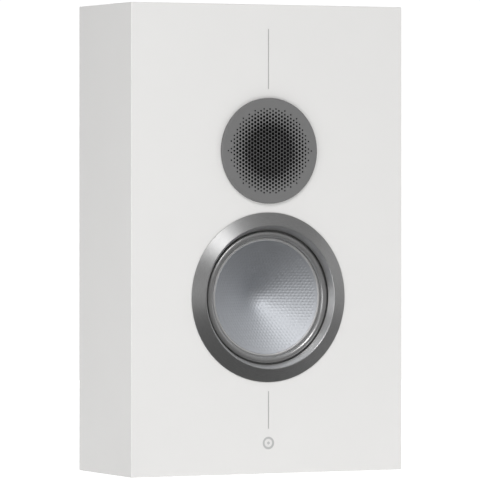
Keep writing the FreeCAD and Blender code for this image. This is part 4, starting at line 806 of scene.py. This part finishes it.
grip_metal = plated("grip metal", (0.23, 0.23, 0.235, 1), 0.3, (1, 0.05, 1), grain=900)
flutes = fluting_tree(grip_metal.material)
KNOB_BORE = 4.3 * MM
KNOB_BEVEL = 0.5 * MM
GROOVE_DEPTH = 0.8 * MM
for colour in ("red", "black"):
    node = colour + "_knob"
    low, high = corners(node)
    band_low, band_high = corners(node + "_band")
    axis = middle(node)
    outer = (high.x - low.x) / 2
    bore, bevel, groove = KNOB_BORE, KNOB_BEVEL, outer - GROOVE_DEPTH
    grip = [(outer, y) for y in np.linspace(low.y + bevel, band_low.y - 0.6 * MM, 36)]
    blank = turned(node + " blank", [
        (bore, low.y), (outer - bevel, low.y), (outer - 0.15 * MM, low.y + 0.15 * MM)] + grip + [
        (outer - 0.3 * MM, band_low.y - 0.2 * MM), (groove, band_low.y), (groove, band_high.y),
        (outer - 0.3 * MM, band_high.y + 0.2 * MM), (outer - 0.2 * MM, high.y - bevel),
        (outer - bevel - 0.2 * MM, high.y - 0.1 * MM), (outer - 2 * bevel, high.y),
        (bore + 0.4 * MM, high.y), (bore, high.y - 0.4 * MM)], axis, steps=168)
    clean(blank)
    knob = grown(colour + "_grip_nut", flutes, blank, Axis_X=axis.x, Axis_Z=axis.z,
                 Grip_start=low.y + 0.8 * MM, Grip_end=band_low.y - 0.9 * MM)
    clean(knob, sharp=38)
    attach(knob, node)
    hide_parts(node)
    print(knob.name, "faces", len(knob.data.polygons))


# %% [markdown]
# Countersunk screws hold the tray and the hanging plates. One screw with a real cross recess is
# modelled, and Geometry Nodes set it on every screw place, each turned by its own amount, as
# screws that were driven by hand are.

# %% One countersunk screw
def cross_screw(name, head, shank, head_height, length, arm, arm_width, recess):
    """A flat head with a cross recess, its face at y = 0 and its shank along -Y."""
    screw = turned(name, [
        (0, 0), (head - 0.12 * MM, 0), (head, -0.12 * MM), (shank, -head_height),
        (shank, -length * 0.8), (0, -length)], (0, 0, 0), steps=40, closed=False)
    clean(screw, sharp=30)
    tool = bmesh.new()
    for width, reach in ((arm_width, arm), (arm, arm_width)):
        sides = Matrix.Diagonal((width * 2, recess * 2, reach * 2, 1))
        bmesh.ops.create_cube(tool, size=1.0, matrix=sides)
    mesh = bpy.data.meshes.new(name + " tool")
    tool.to_mesh(mesh)
    tool.free()
    bit = placed(name + " tool", mesh)
    cut = screw.modifiers.new("recess", "BOOLEAN")
    cut.object, cut.operation, cut.solver, cut.use_self = bit, "DIFFERENCE", "EXACT", True
    graph = bpy.context.evaluated_depsgraph_get()
    done = bpy.data.meshes.new_from_object(screw.evaluated_get(graph))
    screw.modifiers.clear()
    screw.data = done
    bpy.data.objects.remove(bit)
    return screw


MOST_TURN = 1.5


def setting_tree(screw, material):
    tree, start, end = new_tree("set screws", Turn_seed=3, Scale=1.0)
    turn = add(tree, "FunctionNodeRandomValue", {"Seed": start.outputs["Turn seed"]}, data_type="FLOAT")
    angle = [socket for socket in turn.inputs if socket.type == "VALUE" and socket.enabled]
    angle[0].default_value, angle[1].default_value = 0.0, MOST_TURN
    amount = [socket for socket in turn.outputs if socket.enabled][0]
    spin = add(tree, "ShaderNodeCombineXYZ", {"Y": amount})
    model = add(tree, "GeometryNodeObjectInfo", {"Object": screw})
    stand = add(tree, "GeometryNodeInstanceOnPoints", {
        "Points": start.outputs["Geometry"], "Instance": model.outputs["Geometry"],
        "Rotation": spin, "Scale": start.outputs["Scale"]})
    return ended(tree, end, stand, material)


def part_centres(node):
    """The centre of each loose solid of a part, found by walking its joined faces."""
    work = bmesh.new()
    work.from_mesh(NODES[node].data)
    bmesh.ops.remove_doubles(work, verts=work.verts, dist=WELD)
    left, centres = set(work.verts), []
    while left:
        island, queue = [], [left.pop()]
        while queue:
            vertex = queue.pop()
            island.append(vertex.co.copy())
            for edge in vertex.link_edges:
                other = edge.other_vert(vertex)
                if other in left:
                    left.discard(other)
                    queue.append(other)
        low = Vector(min(p[i] for p in island) for i in range(3))
        high = Vector(max(p[i] for p in island) for i in range(3))
        centres.append((low + high) / 2)
    work.free()
    return sorted(centres, key=lambda p: (round(p.x, 4), round(p.z, 4)))


# %% Setting the screws
screw_steel = plated("blackened screw steel", (0.05, 0.05, 0.052, 1), 0.32, grain=1500)
SCREW_SETS = {"terminal_tray_screws": "tray_screws_set", "keyhole_screws": "plate_screws_set"}
for node, name in SCREW_SETS.items():
    low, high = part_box(node)
    face = high[1]
    centres = part_centres(node)
    model = cross_screw(name + " model", head=3.0 * MM, shank=1.5 * MM, head_height=1.4 * MM,
                        length=face - low[1], arm=1.7 * MM, arm_width=0.32 * MM, recess=0.9 * MM)
    spots = mesh_object(name + " spots", [(p.x, face, p.z) for p in centres], [])
    done = grown(name, setting_tree(model, screw_steel.material), spots, Turn_seed=len(centres))
    bpy.data.objects.remove(model)
    smoothed(done, 30)
    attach(done, "cabinet")
    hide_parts(node)
    print(name, "screws", len(centres), "faces", len(done.data.polygons))


# %% [markdown]
# The padded sheet of wadding behind the woofer is soft fibre. Its packed block is remeshed and
# blown up a little with a cloth solver under pressure, so it bulges between its corners, and
# no point may move more than a few millimetres, which keeps it clear of the panels.

# %% Wadding
WADDING_SHRINK = 5 * MM
WADDING_SWELL = 4.5 * MM
WADDING_CORNER = 8 * MM
WADDING_VOXEL = 5.5 * MM
WADDING_PRESSURE = 4.0
WADDING_STEPS = 15
felt = Finish("wadding fibre", Roughness=1.0, Sheen_Weight=0.35, Sheen_Roughness=0.6)
hairs = felt.noise(260, felt.mapped(scale=(1, 1, 3.5)), detail=6, roughness=0.75)
felt.set("Base Color", felt.mixed(felt.ranged(hairs, 0, 1), (0.60, 0.58, 0.54, 1), (0.86, 0.85, 0.82, 1)))
felt.bump(hairs, 0.8, 0.6 * MM)
low, high = corners("acoustic_wadding")
centre, half = (low + high) / 2, (high - low) / 2 - Vector((1, 1, 1)) * WADDING_SHRINK
block = bmesh.new()
sides = Matrix.Translation(centre) @ Matrix.Diagonal((*half, 1))
bmesh.ops.create_cube(block, size=2.0, matrix=sides)
bmesh.ops.bevel(block, geom=block.edges[:], offset=WADDING_CORNER, segments=3, affect="EDGES")
mesh = bpy.data.meshes.new("wadding_pad")
block.to_mesh(mesh)
block.free()
pad = placed("wadding_pad", mesh)
remesh = pad.modifiers.new("remesh", "REMESH")
remesh.mode, remesh.voxel_size = "VOXEL", WADDING_VOXEL
cloth = pad.modifiers.new("cloth", "CLOTH")
cloth.settings.use_pressure = True
cloth.settings.uniform_pressure_force = WADDING_PRESSURE
cloth.settings.effector_weights.gravity = 0.0
for step in range(1, WADDING_STEPS + 1):
    bpy.context.scene.frame_set(step)
graph = bpy.context.evaluated_depsgraph_get()
swollen = bpy.data.meshes.new_from_object(pad.evaluated_get(graph))
bpy.context.scene.frame_set(1)
while pad.modifiers:
    pad.modifiers.remove(pad.modifiers[0])
inside_low, inside_high = centre - half, centre + half
for vertex in swollen.vertices:
    nearest = Vector(min(max(c, a), b) for c, a, b in zip(vertex.co, inside_low, inside_high))
    away = vertex.co - nearest
    if away.length > WADDING_SWELL:
        vertex.co = nearest + away.normalized() * WADDING_SWELL
pad.data = swollen
pad.data.materials.clear()
pad.data.materials.append(felt.material)
smooth = pad.modifiers.new("soften", "SUBSURF")
smooth.levels = smooth.render_levels = 1
pad.data.polygons.foreach_set("use_smooth", [True] * len(pad.data.polygons))
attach(pad, "cabinet")
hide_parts("acoustic_wadding")
print("wadding faces", len(pad.data.polygons))


# %% [markdown]
# The other parts keep their shape and get a finish each. Some patterns carry real information:
# wire turns on a coil are lines one wire apart, a fibre panel has chips of many browns, and a
# circuit board has copper tracks under its green coat. These families are written once.

# %% Finishes with a pattern
def wound(name, colour, wire):
    """Turns of enamelled wire, one wire apart."""
    made = Finish(name, Metallic=0.9, Roughness=0.32, Coat_Weight=0.5, Coat_Roughness=0.15)
    turns = made.add("ShaderNodeTexWave", {
        "Vector": made.place, "Scale": 0.3142 / wire, "Distortion": 0.15, "Detail": 1.0},
        bands_direction="Y")
    cloud = made.noise(60)
    made.set("Base Color", made.shaded(cloud, colour, 0.8, 1.1))
    made.bump(turns.outputs["Fac"], 0.9, wire * 0.4)
    return made


def fibreboard(name):
    made = Finish(name, Roughness=0.85)
    chips = made.noise(500, detail=6, roughness=0.7)
    cloud = made.noise(14)
    board = made.mixed(made.ranged(chips, 0, 1), (0.30, 0.19, 0.10, 1), (0.55, 0.41, 0.26, 1))
    made.set("Base Color", made.mixed(made.ranged(cloud, 0, 0.35), board, (0.42, 0.29, 0.17, 1)))
    made.bump(chips, 0.4, 0.12 * MM)
    return made


def foam(name, colour, cell=0.8 * MM):
    made = Finish(name, Roughness=0.95)
    cells = made.add("ShaderNodeTexVoronoi", {"Vector": made.place, "Scale": 1 / cell})
    made.set("Base Color", made.mixed(made.ranged(cells.outputs["Distance"], 0, 1, 0.1, 0.6),
                                      shade(colour, 0.55), shade(colour, 1.3)))
    made.bump(cells.outputs["Distance"], 0.7, 0.15 * MM)
    return made


def circuit_board(name, solder_mask, copper):
    made = Finish(name, Roughness=0.3, Coat_Weight=0.4, Coat_Roughness=0.1)
    tracks = made.add("ShaderNodeTexBrick", {
        "Vector": made.mapped(turn=(math.radians(90), 0, 0)), "Scale": 60.0, "Mortar Size": 0.03,
        "Color1": (0, 0, 0, 1), "Color2": (0, 0, 0, 1), "Mortar": (1, 1, 1, 1)}, offset=0.37)
    weave_lines = made.noise(900, detail=2)
    base = made.shaded(weave_lines, solder_mask, 0.8, 1.15)
    made.set("Base Color", made.mixed(tracks.outputs["Color"], base, copper))
    made.bump(tracks.outputs["Color"], 0.4, 0.04 * MM)
    return made


def paired_wire(name, first, second):
    """One jacket colour left of the middle and another right of it."""
    made = Finish(name, Roughness=0.38)
    side = made.add("ShaderNodeSeparateXYZ", {0: made.place}).outputs["X"]
    right_side = math_node(made.tree, "GREATER_THAN", side, 0.0)
    scuffs = made.noise(300, detail=3)
    jacket = made.mixed(right_side, first, second)
    made.set("Base Color", made.mixed(made.ranged(scuffs, 0, 0.25), jacket, (0.25, 0.24, 0.24, 1)))
    made.set("Roughness", made.ranged(scuffs, 0.3, 0.5))
    made.bump(scuffs, 0.2, 0.02 * MM)
    return made


def sleeved(name, colour, stripe):
    """A shrink sleeve with a paler band at one end of each can."""
    made = Finish(name, Roughness=0.25, Coat_Weight=0.4, Coat_Roughness=0.1)
    height = made.add("ShaderNodeSeparateXYZ", {0: made.mapped(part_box("capacitors")[0])}).outputs["Z"]
    band = math_node(made.tree, "LESS_THAN", height, 5 * MM)
    cloud = made.noise(120)
    film = made.shaded(cloud, colour, 0.85, 1.15)
    made.set("Base Color", made.mixed(band, film, stripe))
    made.bump(cloud, 0.2, 0.05 * MM)
    return made


# %% Dressing every other part by its material slot
SLOT_FINISHES = {
    "bare_fibreboard": fibreboard("bare fibreboard"),
    "zinc_plate": plated("zinc plate", (0.55, 0.55, 0.53, 1), 0.36, (1, 1, 0.1)),
    "black_screws": screw_steel,
    "bumper_rubber": moulded("bumper rubber", (0.035, 0.035, 0.036, 1), 0.72, grain=700, depth=0.05),
    "tray_plastic": moulded("tray plastic", (0.028, 0.028, 0.03, 1), 0.5, grain=1300, depth=0.06),
    "gasket_foam": foam("gasket foam", (0.05, 0.05, 0.05, 1)),
    "insulator": moulded("insulator", (0.03, 0.03, 0.033, 1), 0.3, grain=800, depth=0.01),
    "gold_plate": plated("gold plate", (0.86, 0.62, 0.27, 1), 0.2, (1, 0.1, 1), grain=500),
    "red_band": moulded("red ring", (0.55, 0.014, 0.014, 1), 0.25, grain=900, depth=0.01),
    "black_band": moulded("black ring", (0.02, 0.02, 0.02, 1), 0.25, grain=900, depth=0.01),
    "cast_frame": moulded("cast frame paint", (0.045, 0.045, 0.047, 1), 0.5, grain=900, depth=0.08),
    "former_film": plated("coil former foil", (0.72, 0.72, 0.71, 1), 0.25),
    "copper_wire": wound("copper turns", (0.72, 0.33, 0.17, 1), 0.8 * MM),
    "zinc_steel": plated("zinc steel", (0.42, 0.42, 0.41, 1), 0.38, (0.1, 1, 1)),
    "ferrite": moulded("ferrite", (0.06, 0.06, 0.062, 1), 0.62, grain=500, depth=0.08, wander=0.2),
    "neodymium": plated("nickel coat", (0.6, 0.58, 0.55, 1), 0.2),
    "strip_board": moulded("paper board", (0.33, 0.19, 0.07, 1), 0.55, grain=400, depth=0.03, wander=0.2),
    # The tweeter's chassis and pleated film are nearly black and are dulled below: a painted shade that
    # keeps the tweeter's insides dark through the plate's holes.
    "chassis_plastic": moulded("chassis plastic", (0.008, 0.008, 0.009, 1), 0.8, grain=900, depth=0.04),
    "pleat_film": moulded("pleated film", (0.02, 0.018, 0.014, 1), 0.6, grain=900, depth=0.02),
    "tinned_tags": plated("tinned tags", (0.68, 0.68, 0.66, 1), 0.3),
    "circuit_board": circuit_board("circuit board", (0.015, 0.10, 0.045, 1), (0.10, 0.22, 0.06, 1)),
    "white_nylon": moulded("white nylon", (0.72, 0.72, 0.70, 1), 0.4, grain=600, depth=0.02),
    "capacitor_film": sleeved("capacitor sleeve", (0.04, 0.07, 0.30, 1), (0.55, 0.55, 0.52, 1)),
    "resistor_ceramic": moulded("cement resistor", (0.68, 0.67, 0.63, 1), 0.8, grain=450, depth=0.1),
    "wire_jacket": paired_wire("wire jackets", (0.35, 0.015, 0.015, 1), (0.02, 0.02, 0.02, 1)),
}
dressed = 0
for part in frame["record"]["subparts"]:
    if part["material_slot"] in SLOT_FINISHES:
        dress(SLOT_FINISHES[part["material_slot"]], part["node"])
        dressed += 1
# Painted shade: the pole plates, whose slot is zinc steel, are painted nearly black, and these three
# finishes are dulled, so the tweeter's insides stay dark through the holes.
shade_black_steel = moulded("shade-black pole plates", (0.008, 0.008, 0.008, 1), 0.8, grain=900, depth=0.03)
for shade_dulled in (shade_black_steel, SLOT_FINISHES["chassis_plastic"], SLOT_FINISHES["pleat_film"]):
    shade_dulled.shader.inputs["Specular IOR Level"].default_value = 0.12
dress(shade_black_steel, "tweeter_pole_plates")
print("dressed", dressed, "parts")


# %% [markdown]
# The set is a pale paper floor in an even white surround. Mirror-like reflections see the
# surround dimmed, so that the lamps stand out in them. The main soft lamp stands in front,
# high and a little to the left: it draws the bright fan on the brushed ring and the bright
# quarter of the cone. A wide lamp fills the left side and a narrow one edges the right.
# A weak lamp lights the top, and one behind shows the terminals.

# %% Floor and surround
FLOOR_RADIUS = 2.2
FLOOR_SIDES = 96
turn = np.linspace(0, 2 * math.pi, FLOOR_SIDES, endpoint=False)
floor = mesh_object("floor", [(FLOOR_RADIUS * math.cos(t), FLOOR_RADIUS * math.sin(t), 0)
                              for t in turn], [tuple(range(FLOOR_SIDES))])
paper = Finish("floor paper", Roughness=0.9, Specular_IOR_Level=0.1, Emission_Strength=0.5)
mottle = paper.noise(3, detail=3)
paper.set("Base Color", paper.mixed(mottle, (0.90, 0.90, 0.90, 1), (0.92, 0.92, 0.92, 1)))
paper.shader.inputs["Emission Color"].default_value = (1, 1, 1, 1)
floor.data.materials.append(paper.material)
floor.visible_glossy = False

ROOM_LOW, ROOM_HIGH = 0.15, 0.5
MIRRORED_SHARE = 0.72
SEEN_WHITE = 1.05
world = bpy.data.worlds.new("surround")
bpy.context.scene.world = world
world.use_nodes = True
sky = world.node_tree
around = sky.nodes["Background"]
around.inputs["Color"].default_value = (1, 1, 1, 1)
ray = add(sky, "ShaderNodeLightPath").outputs
way = add(sky, "ShaderNodeSeparateXYZ", {0: add(sky, "ShaderNodeTexCoord").outputs["Generated"]})
room = add(sky, "ShaderNodeMapRange", {
    "Value": way.outputs["Z"], "From Min": -0.7, "From Max": 0.8,
    "To Min": ROOM_LOW, "To Max": ROOM_HIGH}, interpolation_type="SMOOTHSTEP")
mirrored = add(sky, "ShaderNodeMapRange", {
    "Value": ray["Is Glossy Ray"], "To Min": 1.0, "To Max": MIRRORED_SHARE})
room = math_node(sky, "MULTIPLY", room.outputs[0], mirrored.outputs[0])
brightness = add(sky, "ShaderNodeMapRange", {
    "Value": ray["Is Camera Ray"], "To Min": room, "To Max": SEEN_WHITE})
sky.links.new(brightness.outputs[0], around.inputs["Strength"])
print("floor radius", FLOOR_RADIUS)

# %% Lamps
# Each lamp's place, width and height in metres, and power in watts.
LAMPS = {
    "key lamp": ((-0.75, -2.3, 2.3), (1.1, 1.1), 31),
    "side lamp": ((-2.6, -1.45, 0.35), (1.4, 1.4), 16),
    "right lamp": ((2.6, -1.1, 0.6), (0.6, 1.6), 3),
    "top lamp": ((0.2, 0.3, 3.0), (1.5, 1.5), 5),
    "back lamp": ((1.1, 2.6, 1.2), (1.2, 1.2), 14),
}
AIM_HEIGHT = 0.27
target = Vector((0, face_y, AIM_HEIGHT))
for name, (spot, size, watts) in LAMPS.items():
    light = bpy.data.lights.new(name, "AREA")
    light.shape, light.energy = "RECTANGLE", watts
    light.size, light.size_y = size
    lamp = placed(name, light)
    lamp.location = spot
    lamp.rotation_euler = (target - Vector(spot)).to_track_quat("-Z", "Y").to_euler()
print("lamps", len(LAMPS))


# %% [markdown]
# The camera stands level, to the left of the front, a good way off with a long lens. A level
# camera keeps upright edges upright. The frame is shifted down a little instead of tilting it.

# %% Camera
LENS = 326.3
AZIMUTH = math.radians(25.5)
DISTANCE = 4.567
EYE_HEIGHT = 0.3044
RIGHT_OF_CORNER = 0.1141
FRAME_SHIFT = -0.1083
forward = Vector((math.sin(AZIMUTH), math.cos(AZIMUTH), 0))
right = Vector((math.cos(AZIMUTH), -math.sin(AZIMUTH), 0))
corner = Vector((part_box("left_side_panel")[0][0], face_y, 0))
eye = Vector((0, 0, EYE_HEIGHT))
camera = placed("camera", bpy.data.cameras.new("camera"))
camera.location = corner + RIGHT_OF_CORNER * right - DISTANCE * forward + eye
camera.rotation_euler = forward.to_track_quat("-Z", "Y").to_euler()
camera.data.lens = LENS
camera.data.sensor_width = 36.0
camera.data.shift_y = FRAME_SHIFT
camera.data.clip_end = 60
bpy.context.scene.camera = camera
bpy.context.scene.view_settings.view_transform = "Standard"
print("camera at", [round(value, 3) for value in camera.location])
